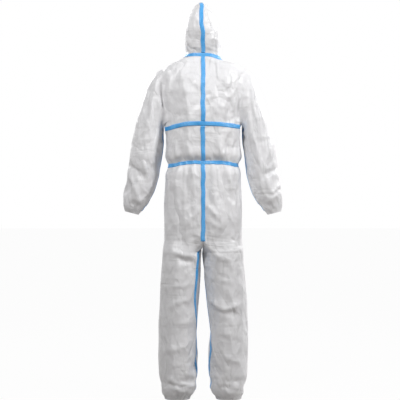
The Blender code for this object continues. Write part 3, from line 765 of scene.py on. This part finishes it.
def simulate(points, rest, hold, frames):
    """Let the cloth springs of the rest shape push the points into folds."""
    piece = put("cloth_net", made_mesh("cloth_net", points, net.quads))
    piece.shape_key_add(name="as_hung")
    wide = piece.shape_key_add(name="as_cut")
    wide.data.foreach_set("co", np.asarray(rest, np.float32).ravel())
    group = piece.vertex_groups.new(name="held")
    for weight in sorted(set(np.round(hold, 3))):
        index = np.nonzero(np.round(hold, 3) == weight)[0]
        group.add([int(i) for i in index], float(weight), "REPLACE")
    cloth = piece.modifiers.new("cloth", "CLOTH")
    for key, value in SPRINGS.items():
        setattr(cloth.settings, key, value)
    cloth.settings.rest_shape_key = wide
    cloth.settings.effector_weights.gravity = 0.35
    cloth.collision_settings.use_collision = False
    cloth.collision_settings.use_self_collision = False
    scene = bpy.context.scene
    for step in range(1, frames + 1):
        scene.frame_set(step)
    depsgraph = bpy.context.evaluated_depsgraph_get()
    settled = piece.evaluated_get(depsgraph)
    found = np.empty(len(points) * 3, np.float32)
    settled.data.vertices.foreach_get("co", found)
    bpy.data.objects.remove(piece, do_unlink=True)
    scene.frame_set(1)
    return found.reshape(-1, 3).astype(float)


seeded = shape + crumple * 0.0025 * (1 - slope(pin, 0.5, 0.9))[:, None]
draped = simulate(seeded, cut, pin, FRAMES)
move = draped - shape
reach = np.linalg.norm(move, axis=1)
print("the cloth moved by up to %.1f mm, on median %.1f mm" % (reach.max() * 1000, np.median(reach) * 1000))
MOST = 0.020  # how far a point may move, in metres
move *= (MOST * np.tanh(reach / MOST) / np.maximum(reach, 1e-9))[:, None]
settled = shape + move

# %% [markdown]
# The simulation gives the broad folds. What it can't know is how this suit was put on: the crease
# where each sleeve is set in, the folds that run from the shoulders to the yoke, the bends at the
# elbows and knees, and the small puckers that a gathered seam has. They are moved in one by one, each as
# a soft line on the cloth, with a little wobble so that none of them is straight.

# %% Shape the remembered folds
def normals_of(points):
    quads = np.array(net.quads)
    a, b, c, d = (points[quads[:, k]] for k in range(4))
    facing = np.cross(c - a, d - b)
    sums = [np.bincount(quads.ravel(), np.repeat(facing[:, k], 4), len(points)) for k in range(3)]
    total = np.stack(sums, axis=1)
    return total / np.maximum(np.linalg.norm(total, axis=1), 1e-12)[:, None]


# Each fold on the back of the suit: where it starts, as a level, x and the rise above that level,
# where it ends, in the same way, and its half width, all in millimetres. Last is its height, in
# tenths of a millimetre.
FOLDS = (
    (ARMHOLE_TOP, 176, -10, ARMHOLE_FOOT, 163, 20, 10, -150),
    (ARMHOLE_TOP, 158, -20, ARMHOLE_FOOT, 146, 30, 9, 75),
    (ARMHOLE_TOP, -168, -30, ARMHOLE_FOOT, -150, 10, 10, -150),
    (ARMHOLE_TOP, -148, -40, ARMHOLE_FOOT, -134, 40, 9, 75), (YOKE, 80, 180, YOKE, 58, 12, 9, 60),
    (YOKE, 104, 120, YOKE, 82, 15, 12, -50), (YOKE, -90, 220, YOKE, -124, 110, 10, 60),
    (YOKE, -24, 180, YOKE, -57, 40, 10, 45), (YOKE, -112, 90, YOKE, -104, 15, 9, -50),
    (YOKE, 66, -12, WAIST, 60, 12, 10, 60), (YOKE, -57, -15, WAIST, -92, 15, 12, 60),
    (YOKE, -120, -50, WAIST, -98, 12, 9, -55), (YOKE, 120, -70, WAIST, 112, 12, 8, 50),
    (WAIST, 34, -12, WAIST, 58, -150, 10, 55), (WAIST, 110, -12, WAIST, 128, -110, 10, 55),
    (WAIST, -40, -12, WAIST, -52, -170, 11, 50), (WAIST, -108, -12, WAIST, -122, -100, 10, 55),
    (ELBOW, 335, 35, ELBOW, 248, -25, 10, -80), (ELBOW, 325, 10, ELBOW, 284, -130, 10, 65),
    (ELBOW, 262, 70, ELBOW, 236, -20, 10, 50), (ELBOW, -330, 10, ELBOW, -262, -20, 10, -65),
    (ELBOW, -345, -60, ELBOW, -290, -100, 8, 60), (ELBOW, -338, -95, ELBOW, -286, -130, 8, 55),
    (ELBOW, -300, 120, ELBOW, -262, 30, 12, 50), (CROTCH, 124, -45, CROTCH, 28, -78, 11, 65),
    (CROTCH, 118, -68, CROTCH, 40, -100, 9, -50), (CROTCH, -30, -35, CROTCH, -120, -105, 13, 45),
    (KNEE, -22, 20, KNEE, -96, -22, 10, 60), (KNEE, -96, -22, KNEE, -160, 4, 10, 60),
    (KNEE, -50, -24, KNEE, -150, -46, 9, -50), (KNEE, 52, 30, KNEE, 150, -10, 11, 45),
    (KNEE, 70, -170, KNEE, 160, -205, 12, 45), (HIP, -14, 55, HIP, -78, -20, 12, 60),
    (HIP, -10, -10, HIP, -70, -48, 10, 50), (HIP, 16, 30, HIP, 74, -45, 12, 45),
    (CROTCH, 20, -100, CROTCH, 150, -118, 7, 30), (CROTCH, 40, -190, CROTCH, 165, -200, 7, 30),
    (CROTCH, -30, -160, CROTCH, -150, -180, 7, 30), (KNEE, -40, -120, KNEE, -165, -140, 8, 32),
    (KNEE, 40, -75, KNEE, 120, -95, 8, 34), (0, -90, 200, 0, -170, 160, 9, 40),
    (0, 142, 92, 0, 34, 56, 10, 80), (0, 150, 60, 0, 60, 34, 8, 50), (0, -52, 82, 0, -150, 60, 10, 60),
)
FOLD_GAIN = 1.85


def fold_height(points, facing):
    height = np.zeros(len(points))
    flat_places = points[:, [0, 2]]
    wobble = np.array([noise.noise(Vector((p[0] * 14, 3.0, p[2] * 14))) for p in points]) * 0.010
    for from_level, from_x, from_rise, to_level, to_x, to_rise, width, depth in FOLDS:
        start = np.array((from_x / 1000, from_level + from_rise / 1000))
        run = np.array((to_x / 1000, to_level + to_rise / 1000)) - start
        share = np.clip(((flat_places - start) @ run) / (run @ run), 0.0, 1.0)
        gap = flat_places - (start + share[:, None] * run)
        off = np.linalg.norm(gap, axis=1) + wobble * np.sign(gap[:, 0])
        strength = np.sin(math.pi * np.clip(share, 0.06, 0.94)) ** 0.5
        height += FOLD_GAIN * depth / 10000 * strength * np.exp(-(np.abs(off) * 1000 / width) ** 1.3)
    return height * slope(facing[:, 1], -0.05, 0.35)


def pucker(points, level, reach_up, reach_down, size, pitch):
    """Small folds that fan out above and below a gathered line."""
    rise = points[:, 2] - level
    fade = np.where(rise > 0, np.exp(-(rise / reach_up) ** 2), np.exp(-(rise / reach_down) ** 2))
    turn = np.arctan2(points[:, 0], points[:, 1])
    drift = np.array([noise.noise(Vector((t * 3.1, level * 7.0, 0.4 * r / reach_up)))
                      for t, r in zip(turn, rise)])
    return size * fade * np.sin(turn * pitch + drift * 7.0)


facing = normals_of(settled)
rise = settled[:, 2] - WAIST
blouse = np.exp(-((rise - 0.036) / 0.020) ** 2) + 0.6 * np.exp(-((rise + 0.040) / 0.024) ** 2)
tuck = np.exp(-(rise / 0.012) ** 2)
loose = 1 - slope(pin, 0.85, 1.0)
height = fold_height(settled, facing)
body_part = (on_sleeve == 0) * (on_leg == 0) * 1.0
for gathers in ((WAIST, 0.040, 0.034, 0.0034, 31), (WAIST, 0.012, 0.012, 0.0020, 67),
                (YOKE, 0.016, 0.016, 0.0011, 83)):
    height += pucker(settled, *gathers) * body_part
height += (0.0060 * blouse - 0.0050 * tuck) * body_part
garment = settled + facing * (height * loose)[:, None]

# %% Let the seams hang as worn, and lean the hood a little
side_of = np.abs(garment[:, 0])
yoke_dip = np.where(garment[:, 0] > 0, 0.017, 0.008) * slope(side_of, 0.055, 0.165)
waist_dip = np.where(garment[:, 0] > 0, 0.014, 0.010) * slope(side_of, 0.060, 0.160)
neck_dip = np.where(garment[:, 0] > 0, 0.000, 0.012) * slope(side_of, 0.020, 0.075)
for level, dip, spread in ((YOKE, yoke_dip, 0.045), (WAIST, waist_dip, 0.050), (NECK, neck_dip, 0.016)):
    near = np.exp(-((shape[:, 2] - level) / spread) ** 2) * body_part * slope(facing[:, 1], -0.6, 0.0)
    garment[:, 2] -= dip * near * (1 - slope(pin, 0.99, 1.0))
ripple = np.array([noise.noise(Vector((p[0] * 9, 1.0, p[2] * 26))) for p in shape])
near_centre = np.exp(-(shape[:, 0] / 0.06) ** 2) * slope(facing[:, 1], 0.2, 0.7) * body_part
garment[:, 0] += 0.0035 * ripple * near_centre
lift = np.array([noise.noise(Vector((p[0] * 42, 5.0, p[2] * 8))) for p in shape])
garment[:, 2] += 0.0028 * lift * np.exp(-((shape[:, 2] - WAIST) / 0.03) ** 2) * body_part * loose
lean = slope(shape[:, 2], HOOD - 0.02, CROWN - 0.06)
garment[:, 0] += 0.008 * lean
print("folds and puckers of up to %.1f mm" % (np.abs(height).max() * 1000))

# %% [markdown]
# ## Joint weights over the net
#
# Each joint gets a weight at every point of the net: 0 stands for the first body and 1 for the
# second. Most weights are a smooth slope over some rows. The hip's are spread along the net, like
# heat between two held ends, so that they change gradually over the seat. The panels are made without them.

# %% Spread the joint weights over the net
def sleeve_share(rows):
    weight = np.zeros(len(shape))
    for rings in sleeves.values():
        for r, ring in enumerate(rings):
            weight[list(ring.values())] = slope(r, *rows)
    return weight


weights = {"shoulder": sleeve_share((0, 24)), "elbow": sleeve_share((SLEEVE_CUT - 1, SLEEVE_CUT + 13))}
weights["knee"] = slope(shape[:, 2], KNEE_TOP + 0.030, KNEE_FOOT - 0.030) * (on_leg > 0)
weights["hood"] = slope(shape[:, 2], NECK + HALF_TAPE, HOOD + 0.020)
held = np.ones(len(shape), bool)
hip = slope(shape[:, 2], CROTCH + 0.02, KNEE_TOP + 0.070) * (on_leg > 0)
for side in (1, -1):
    for ring in legs[side][1:]:
        held[list(ring.values())] = False
for r in range(ROW["hip"] + 12):
    held[[body_point(r, side * c) for c in range(2, HALF - 1) for side in (1, -1)]] = False
held |= (on_leg > 0) & (shape[:, 2] < KNEE_TOP + 0.075)
hip[held & (on_leg > 0)] = 1.0
weights["hip"] = relax(hip, held, 400)
for name, weight in weights.items():
    print("weight", name, "from %.2f to %.2f" % (weight.min(), weight.max()))

# %% [markdown]
# ## From net to panels
#
# The settled net is subdivided once, which rounds its folds. Its quads are then handed out to the
# panels. Every panel keeps the normals of the whole net, so no light catches on a cut edge.

# %% Subdivide the settled net once
def fine_net(points):
    mesh = made_mesh("fine_net", points, net.quads)
    order = mesh.attributes.new("quad", "INT", "FACE")
    order.data.foreach_set("value", np.arange(len(net.quads), dtype=np.int32))
    for name, weight in weights.items():
        store = mesh.attributes.new(name, "FLOAT", "POINT")
        store.data.foreach_set("value", weight.astype(np.float32))
    piece = put("fine_net", mesh)
    smooth = piece.modifiers.new("smooth", "SUBSURF")
    smooth.levels = smooth.render_levels = 1
    smooth.boundary_smooth = "PRESERVE_CORNERS"
    made = bpy.data.meshes.new_from_object(piece.evaluated_get(bpy.context.evaluated_depsgraph_get()))
    bpy.data.objects.remove(piece, do_unlink=True)
    return made


def read(mesh, what, name, size, kind):
    values = np.empty(len(what) * size, kind)
    what.foreach_get(name, values)
    return values.reshape(-1, size) if size > 1 else values


fine = fine_net(garment)
fine_points = read(fine, fine.vertices, "co", 3, np.float32).astype(float)
fine_normals = read(fine, fine.vertex_normals, "vector", 3, np.float32).astype(float)
fine_quads = read(fine, fine.loops, "vertex_index", 1, np.int32).reshape(-1, 4)
fine_parent = read(fine, fine.attributes["quad"].data, "value", 1, np.int32)
fine_weights = {name: read(fine, fine.attributes[name].data, "value", 1, np.float32) for name in weights}
print("fine net:", len(fine_points), "points,", len(fine_quads), "quads")


# %% Build a panel or a tape from chosen quads
def chosen(test):
    """The fine quads whose label passes the test."""
    passes = np.array([bool(test(label)) for label in net.labels])
    return fine_quads[passes[fine_parent]]


def link(name, mesh, finish):
    piece = put(name, mesh)
    mesh.materials.append(finish)
    return piece


def attach(piece, joint, first):
    """Ride on one body; a piece at a joint only gets its transform baked in and follows no body."""
    if joint is None:
        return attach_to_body(piece, first)
    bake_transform(piece)
    return piece


def panel(name, quads, finish):
    """One layer of cloth."""
    index, inverse = np.unique(quads, return_inverse=True)
    mesh = made_mesh(name, fine_points[index], inverse.reshape(-1, 4).tolist())
    mesh.shade_smooth()
    mesh.normals_split_custom_set_from_vertices([tuple(n) for n in fine_normals[index]])
    return link(name, mesh, finish), index


def band(name, quads, finish, under, over):
    """A tape or elastic with two faces and thin edges, laid between two distances off the cloth."""
    index, inverse = np.unique(quads, return_inverse=True)
    faces = inverse.reshape(-1, 4)
    lower = fine_points[index] + fine_normals[index] * under
    upper = fine_points[index] + fine_normals[index] * over
    count = len(index)
    sides = dict.fromkeys((int(a), int(b)) for face in faces for a, b in zip(face, np.roll(face, -1)))
    rim = [(a, b, b + count, a + count) for a, b in sides if (b, a) not in sides]
    quads = (faces + count).tolist() + faces[:, ::-1].tolist() + rim
    mesh = made_mesh(name, np.vstack([lower, upper]), quads)
    smooth = np.ones(len(quads), bool)
    smooth[len(faces) * 2:] = False
    mesh.polygons.foreach_set("use_smooth", smooth)
    return link(name, mesh, finish), np.concatenate([index, index])


print("panel and band are ready")

# %% [markdown]
# ## Finishes
#
# The fabric is a nonwoven of spun fibres under a thin film. From afar it is white with a soft gloss,
# close by it shows the small bonded dots of the web, and everywhere it is creased like paper, because
# it has been folded in its bag. The tape is a clear blue film on cloth, smoother than the fabric.

# %% Mix the laminated fabric
def laminated_fabric():
    f = Finish("laminated_fabric")
    web = f.grain(260, 3.0, 0.6, stretch=(1.0, 1.0, 0.35))
    clouds = f.grain(5.0, 3.0, 0.55)
    patches = f.grain(38, 4.0, 0.6, twist=0.4)
    shade = (clouds * 0.5 + web * 0.3 + patches * 0.2).step(0.38, 0.26)
    colour = f.colour(shade, (0.730, 0.727, 0.744), (0.800, 0.797, 0.810))
    drift = f.node("TexNoise", output=1, Vector=f.place(), Scale=9.0, Detail=2.0)
    bent = f.node("VectorMath", {"operation": "MULTIPLY_ADD"}, Vector=drift)
    for k, item in ((1, (0.09, 0.09, 0.09)), (2, f.place((1.0, 1.0, 0.6)))):
        plug(f.tree, bent.socket.node.inputs[k], item)
    facet_a = f.node("TexVoronoi", Vector=bent, Scale=11.0)
    facet_b = f.node("TexVoronoi", Vector=bent, Scale=27.0)
    fold_a = (f.grain(10, 2.0, 0.5, stretch=(1.0, 1.0, 0.5), twist=0.6) - 0.5).math("ABSOLUTE")
    level = (f.grain(7, 2.0, 0.5, stretch=(0.5, 0.5, 2.4), twist=0.7) - 0.5).math("ABSOLUTE")
    worn = 0.15 + clouds.step(0.44, 0.20) * 0.85
    creases = facet_a * 0.95 + facet_b * 0.40 + (fold_a * 6.0).clamp() * 0.45
    creases = creases + (level * 6.0).clamp() * worn * 0.20
    dots = f.node("TexVoronoi", Vector=f.place((1.0, 1.0, 1.0)), Scale=620.0, Randomness=0.35)
    paper = f.bump(creases, 0.0120, 0.9)
    fibres = f.bump(web * 0.6 + dots.step(0.1, 0.5) * 0.5, 0.00008, 0.5, below=paper)
    rough = 0.35 + web * 0.10 + (1.0 - shade) * 0.08
    return f.set(Base_Color=colour, Roughness=rough, Normal=fibres)


fabric = laminated_fabric()
print("made", fabric.name)


# %% Mix the seam tape, the elastic, the thread and the zip's materials
def seam_tape():
    f = Finish("seam_tape")
    clouds = f.grain(22, 3.0, 0.6)
    weave = f.grain(900, 1.0, 0.5, stretch=(1.0, 1.0, 0.3))
    colour = f.colour(clouds.step(0.32, 0.36), (0.050, 0.330, 0.720), (0.125, 0.440, 0.850))
    ripple = (f.grain(75, 3.0, 0.6, twist=0.4) - 0.5).math("ABSOLUTE")
    cockle = f.bump((ripple * 5.0).clamp() * 0.8 + clouds * 0.5, 0.0011, 0.7)
    fine_weave = f.bump(weave, 0.00006, 0.5, below=cockle)
    return f.set(Base_Color=colour, Roughness=0.26 + clouds * 0.14, Normal=fine_weave)


def knitted_elastic():
    f = Finish("elastic")
    ribs = f.node("TexWave", {"wave_type": "BANDS", "bands_direction": "DIAGONAL"}, 1,
                  Vector=f.place((1.0, 1.0, 0.05)), Scale=210.0, Distortion=1.5, Detail=1.0)
    fuzz = f.grain(500, 2.0)
    colour = f.colour(ribs * 0.7 + fuzz * 0.3, (0.52, 0.53, 0.55), (0.76, 0.77, 0.78))
    return f.set(Base_Color=colour, Roughness=0.72 + fuzz * 0.16, Normal=f.bump(ribs, 0.0004, 0.7))


def zip_webbing():
    f = Finish("zip_webbing")
    warp = f.node("TexWave", {"wave_type": "BANDS", "bands_direction": "X"}, 1, Vector=f.place(), Scale=420.0)
    weft = f.node("TexWave", {"wave_type": "BANDS", "bands_direction": "Z"}, 1, Vector=f.place(), Scale=330.0)
    cloth = warp * weft
    colour = f.colour(cloth, (0.66, 0.67, 0.69), (0.83, 0.83, 0.84))
    return f.set(Base_Color=colour, Roughness=0.62 + cloth * 0.16, Normal=f.bump(cloth, 0.0002, 0.7))


def moulded_plastic():
    f = Finish("zip_plastic")
    satin = f.grain(900, 2.0, 0.6)
    wear = f.grain(160, 3.0, 0.6).step(0.56, 0.14)
    colour = f.colour(wear * 0.6, (0.80, 0.81, 0.83), (0.70, 0.70, 0.71))
    return f.set(Base_Color=colour, Roughness=0.30 + satin * 0.12 + wear * 0.10,
                 Normal=f.bump(satin, 0.00003, 0.4))


def release_film():
    f = Finish("adhesive")
    creep = f.grain(120, 3.0, 0.6)
    colour = f.colour(creep.step(0.35, 0.3), (0.78, 0.76, 0.66), (0.86, 0.85, 0.79))
    return f.set(Base_Color=colour, Roughness=0.14 + creep * 0.16, Normal=f.bump(creep, 0.0003, 0.5))


def sewing_thread():
    f = Finish("sewing_thread")
    ply = f.grain(1500, 1.0)
    colour = f.colour(ply, (0.70, 0.71, 0.73), (0.84, 0.84, 0.85))
    return f.set(Base_Color=colour, Roughness=0.5 + ply * 0.2, Normal=f.bump(ply, 0.0001, 0.5))


tape, elastic, webbing = seam_tape(), knitted_elastic(), zip_webbing()
plastic, film, thread = moulded_plastic(), release_film(), sewing_thread()
print("finishes:", [m.name for m in (fabric, tape, elastic, webbing, plastic, film, thread)])

# %% [markdown]
# ## The panels
#
# Each side of the suit has a seat with its trouser leg, a lower body, a yoke with the upper sleeve,
# half a hood, a lower sleeve and a lower leg. The seams between them are the ones the tapes cover.

# %% Cut the panels
WORD = {1: "left", -1: "right"}
PANELS = {
    "seat": ("trouser_seat", "hip", "torso", "thigh_", ("seat_panel_", "hip_section_", "thigh_")),
    "knee": ("trouser_leg", "knee", "thigh_", "shin_", ("knee_section_", "shin_")),
    "waist": ("lower_back_and_front", None, "torso", None, ("lower_body_",)),
    "yoke": ("yoke_and_sleeve", "shoulder", "torso", "sleeve_",
             ("upper_body_", "shoulder_section_", "upper_sleeve_")),
    "forearm": ("lower_sleeve", "elbow", "sleeve_", "forearm_", ("elbow_section_", "forearm_sleeve_")),
    "hood": ("hood_half", "hood", "torso", "hood", ("hood_panel_",)),
}


def body_name(stem, word):
    return stem + word if stem and stem.endswith("_") else stem


def area_of(points, part, side):
    """The area of a part of the net, in a given shape of its points."""
    quads = np.array([q for q, label in zip(net.quads, net.labels)
                      if label["part"] == part and label["side"] == side])
    a, b, c, d = (points[quads[:, k]] for k in range(4))
    return float(np.linalg.norm(np.cross(c - a, d - b), axis=1).sum() / 2)


panels = {}
for side, word in WORD.items():
    for part, (name, joint, first, second, nodes) in PANELS.items():
        quads = chosen(lambda label: label["part"] == part and label["side"] == side)
        piece, index = panel(name + "_" + word, quads, fabric)
        attach(piece, joint, body_name(first, word))
        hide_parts(*[stem + word for stem in nodes])
        panels[(part, side)] = piece
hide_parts("neck_section")
print("panels:", len(panels), "with", sum(len(p.data.polygons) for p in panels.values()), "quads")

# %% [markdown]
# The width and length that each panel was cut to are estimates: what the panel measures as worn,
# and the extra that such suits are cut with. The area is the sum of the panel's quads in the wide
# shape of the net, and no more than width times length, because the cut isn't a rectangle.

for (part, side), piece in panels.items():
    area = area_of(cut, part, side)

# %% [markdown]
# ## Seam tapes
#
# The tape is a glossy blue strip 18 mm wide, welded over each stitched seam. It follows the cloth
# exactly, so it takes the same quads as the seam and lies about a millimetre over them.

# %% Weld the tapes over the seams
FLAT_COLUMN = int(np.argmin(np.abs(half_outline(YOKE)[HALF // 2:, 0] - 0.05))) + HALF // 2
TAPED = ROW["waist"], ROW["yoke"], ROW["neck"]
# What each kind of strip is made of, its slot, and the two distances off the cloth that it fills.
STRIPS = {"tape": (tape, "seam_tape", 0.0003, 0.0011), "elastic": (elastic, "elastic", -0.0016, -0.0004)}


def crossed(row):
    """Rows of the body that a tape going round already covers."""
    return any(row in (level - 1, level) for level in TAPED)


def strip(kind, name, test, joint=None, first="torso"):
    finish, slot, near, far = STRIPS[kind]
    piece, index = band(name, chosen(test), finish, near, far)
    attach(piece, joint, first)
    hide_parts(name)
    return piece


def goes_round(q, level):
    return q.get("row", -9) in (level - 1, level) and q["column"] < FLAT_COLUMN


tapes = []
for name in ("waist", "yoke", "neck"):
    tapes.append(strip("tape", name + "_tape", lambda q: goes_round(q, ROW[name])))
for name, part in (("back_tape_seat", "seat"), ("back_tape_middle", "waist"), ("back_tape_upper", "yoke")):
    tapes.append(strip("tape", name, lambda q: q["part"] == part and q.get("column") == 0 and "row" in q
                       and not crossed(q["row"])))
tapes.append(strip("tape", "hood_centre_tape", lambda q: q["part"] == "hood" and not crossed(q["row"])
                   and (q["column"] == 0 or q["row"] == crest_row - 1), "hood", "torso"))
ARM_COLUMNS = (0, len(sleeves[1][0]) - 1)
LEG_COLUMNS = (HALF + INNER // 2 - 1, HALF + INNER // 2)
LIMB_TAPES = (
    ("upper_sleeve_tape_", "yoke", "arm_row", "shoulder", "torso", "sleeve_"),
    ("forearm_tape_", "forearm", "arm_row", "elbow", "sleeve_", "forearm_"),
    ("thigh_tape_", "seat", "leg_row", "hip", "torso", "thigh_"),
    ("shin_tape_", "knee", "leg_row", "knee", "thigh_", "shin_"),
)
SEAM = {"arm_row": (ARM_COLUMNS, SLEEVE_ROWS - HEM_ROWS), "leg_row": (LEG_COLUMNS, len(legs[1]) - 6)}


def on_seam(q, side, part, rows):
    """Whether a quad lies on a limb's inner seam and above its hem."""
    columns, last = SEAM[rows]
    return q["side"] == side and q["part"] == part and 0 <= q.get(rows, -1) < last and q["column"] in columns


for side, word in WORD.items():
    for name, part, rows, joint, first, second in LIMB_TAPES:
        tapes.append(strip("tape", name + word, lambda q: on_seam(q, side, part, rows), joint,
                           body_name(first, word)))
print("tapes:", len(tapes))

# %% [markdown]
# ## Elastics in the hems
#
# A knitted elastic is sewn inside the hem at the wrists, the ankles, the waist and round the face.
# It lies on the inner side of the cloth, where it shows only when one looks into the opening.

# %% Sew the elastics into the hems
strip("elastic", "waist_elastic", lambda q: goes_round(q, ROW["waist"]))
strip("elastic", "face_elastic", lambda q: q["part"] == "hood" and q["column"] == FACE - 1
      and q["row"] >= first_hood - 1, "hood", "torso")
for side, word in WORD.items():
    for name, rows, last, member in (("wrist", "arm_row", SLEEVE_ROWS, "forearm_"),
                                     ("ankle", "leg_row", len(legs[1]), "shin_")):
        strip("elastic", name + "_elastic_" + word, lambda q: q["side"] == side
              and q.get(rows, -1) >= last - HEM_ROWS, None, member + word)
print("elastics are in")

# %% [markdown]
# ## Zip and storm flap
#
# The front closes with a moulded zip. Two webbing tapes carry the teeth, a slider with its pull runs
# on them, and a storm flap stuck down with an adhesive strip covers them against splashes. The small
# rigid pieces of the frame are right as they are. The teeth and the flap are made again in detail.

# %% Cut the rows of teeth
TOOTH_PITCH = 0.0032
TOOTH_HEIGHT = 0.0019


def tooth(x_inner, x_outer, y_front, y_back, z, side):
    """A tooth with a narrower head: twelve points and ten faces."""
    neck = x_outer - (x_outer - x_inner) * 0.45
    half, slim = TOOTH_HEIGHT / 2, TOOTH_HEIGHT / 3
    outline = [(x_outer, -half), (neck, -slim), (x_inner, -half),
               (x_inner, half), (neck, slim), (x_outer, half)]
    points = [(side * x, y, z + dz) for y in (y_front, y_back) for x, dz in outline]
    faces = [tuple(range(6)), tuple(range(11, 5, -1))]
    faces += [(k, k + 6, (k + 1) % 6 + 6, (k + 1) % 6) for k in range(6)]
    if side < 0:
        faces = [face[::-1] for face in faces]
    return points, faces


def teeth_row(side, word):
    node = "zip_teeth_" + word
    (x0, y0, z0), (x1, y1, z1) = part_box(node)
    inner, outer = min(abs(x0), abs(x1)) - 0.0006, max(abs(x0), abs(x1))
    points, faces = [], []
    offset = TOOTH_PITCH * (0.75 if side > 0 else 0.25)
    for k in range(int((z1 - z0 - TOOTH_PITCH) / TOOTH_PITCH)):
        more, cells = tooth(inner, outer, y0, y1, z0 + offset + TOOTH_PITCH * k, side)
        faces += [tuple(len(points) + i for i in face) for face in cells]
        points += more
    piece = link(node + "_row", made_mesh(node + "_row", points, faces), plastic)
    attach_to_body(piece, "torso")
    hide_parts(node)
    return len(faces)


print("tooth faces:", [teeth_row(side, word) for side, word in WORD.items()])

# %% Sew on the storm flap
(fx0, fy0, fz0), (fx1, fy1, fz1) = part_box("storm_flap")
CLOTH = 0.0012


def flap_rows():
    """The flap's inner face: flat at the hinge, humped over the zip and flat again at its free edge."""
    line = [(fx1, fy1), (0.024, fy1), (0.016, fy0 + CLOTH), (-0.016, fy0 + CLOTH), (-0.024, fy1 - 0.0011),
            (fx0, fy1 - 0.0011)]
    profile = along(line, 41)
    for _ in range(2):
        profile[1:-1] = (profile[:-2] + 2 * profile[1:-1] + profile[2:]) / 4
    rows = []
    for z in np.linspace(fz0, fz1, 90):
        end = min(z - fz0, fz1 - z)
        row = []
        for k, (x, y) in enumerate(profile):
            loose = math.exp(-((x + 0.004) / 0.014) ** 2)
            wave = noise.noise(Vector((x * 30, 0.0, z * 9))) * 0.0016 * loose
            round_off = max(0.0, 0.006 - end) * (max(0.0, 0.006 - (x - fx0)) / 0.006)
            row.append((x + round_off, y + 0.0011 * loose + abs(wave), z))
        rows.append(row)
    return rows


def grid(name, rows, finish):
    width = len(rows[0])
    faces = [(r * width + c, r * width + c + 1, (r + 1) * width + c + 1, (r + 1) * width + c)
             for r in range(len(rows) - 1) for c in range(width - 1)]
    mesh = made_mesh(name, [p for row in rows for p in row], faces)
    mesh.shade_smooth()
    return link(name, mesh, finish)


flap = grid("storm_flap_cloth", flap_rows(), fabric)
solid = flap.modifiers.new("two_layers", "SOLIDIFY")
solid.thickness = CLOTH
solid.offset = -1.0
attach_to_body(flap, "flap")
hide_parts("storm_flap")
print("flap %.0f mm long, %.0f mm wide" % ((fz1 - fz0) * 1000, (fx1 - fx0) * 1000))

# %% [markdown]
# A sewn line shows as short bars of thread with a small gap between them. The flap is sewn down
# beside its hinge, and each hem has one line of stitches where its elastic ends.

# %% Sew the visible stitches
STEP, THREAD = 0.0036, 0.00028  # from stitch to stitch, and half the thread's thickness


def stitches(name, path, outward, body, lift=0.0001):
    """Bars of thread along a path, laid on the cloth; outward gives the cloth's normal at each point."""
    path, outward = np.asarray(path, float), np.asarray(outward, float)
    length = np.linalg.norm(np.diff(path, axis=0), axis=1).sum()
    count = int(length / STEP)
    fine_path = along(path, count * 4 + 1)
    fine_out = outward[[int(np.argmin(((path - p) ** 2).sum(axis=1))) for p in fine_path]]
    points, faces = [], []
    for k in range(count):
        a, b = fine_path[4 * k], fine_path[4 * k + 3]
        run = (b - a) / np.linalg.norm(b - a)
        up = fine_out[4 * k]
        across = np.cross(run, up)
        base = len(points)
        for t, swell in ((0.0, 0.5), (0.25, 1.0), (0.75, 1.0), (1.0, 0.5)):
            middle_point = a + (b - a) * t + up * (lift + THREAD * (swell - 0.2))
            for angle in range(0, 360, 60):
                s, c = math.sin(math.radians(angle)), math.cos(math.radians(angle))
                points.append(tuple(middle_point + (across * c + up * s) * THREAD * swell))
        faces += [tuple(base + i for i in range(5, -1, -1)), tuple(base + 18 + i for i in range(6))]
        faces += [(base + 6 * r + i, base + 6 * r + (i + 1) % 6, base + 6 * (r + 1) + (i + 1) % 6,
                   base + 6 * (r + 1) + i) for r in range(3) for i in range(6)]
    mesh = made_mesh(name, points, faces)
    mesh.shade_smooth()
    piece = link(name, mesh, thread)
    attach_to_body(piece, body)
    return len(faces)


heights = np.linspace(fz0 + 0.003, fz1 - 0.003, 60)
hinge_line = [(fx1 - 0.004, fy1 - CLOTH, z) for z in heights]
made = [stitches("flap_stitches", hinge_line, [(0, -1, 0)] * 60, "flap")]


def nearest_fine(points):
    """The fine net's points nearest to the given ones, with their normals."""
    picked = [int(np.argmin(((fine_points - p) ** 2).sum(axis=1))) for p in points]
    return fine_points[picked], fine_normals[picked]


for side, word in WORD.items():
    for name, ring, member in (("wrist", sleeves[side][-HEM_ROWS - 1], "forearm_"),
                               ("ankle", legs[side][-HEM_ROWS], "shin_")):
        ring = list(ring.values())
        place, normal = nearest_fine(garment[ring + ring[:1]])
        made.append(stitches(name + "_stitches_" + word, place, normal, member + word))
print("stitch faces:", made)

# %% Give the frame's own small pieces their finishes
KEPT = {"zip_tape_left": webbing, "zip_tape_right": webbing, "zip_bottom_stop": plastic,
        "zip_slider": plastic, "slider_bridge": plastic, "zip_pull": plastic, "adhesive_strip": film}
for node, finish in KEPT.items():
    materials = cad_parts[node].data.materials
    materials.clear()
    materials.append(finish)
print("kept from the frame:", sorted(KEPT))
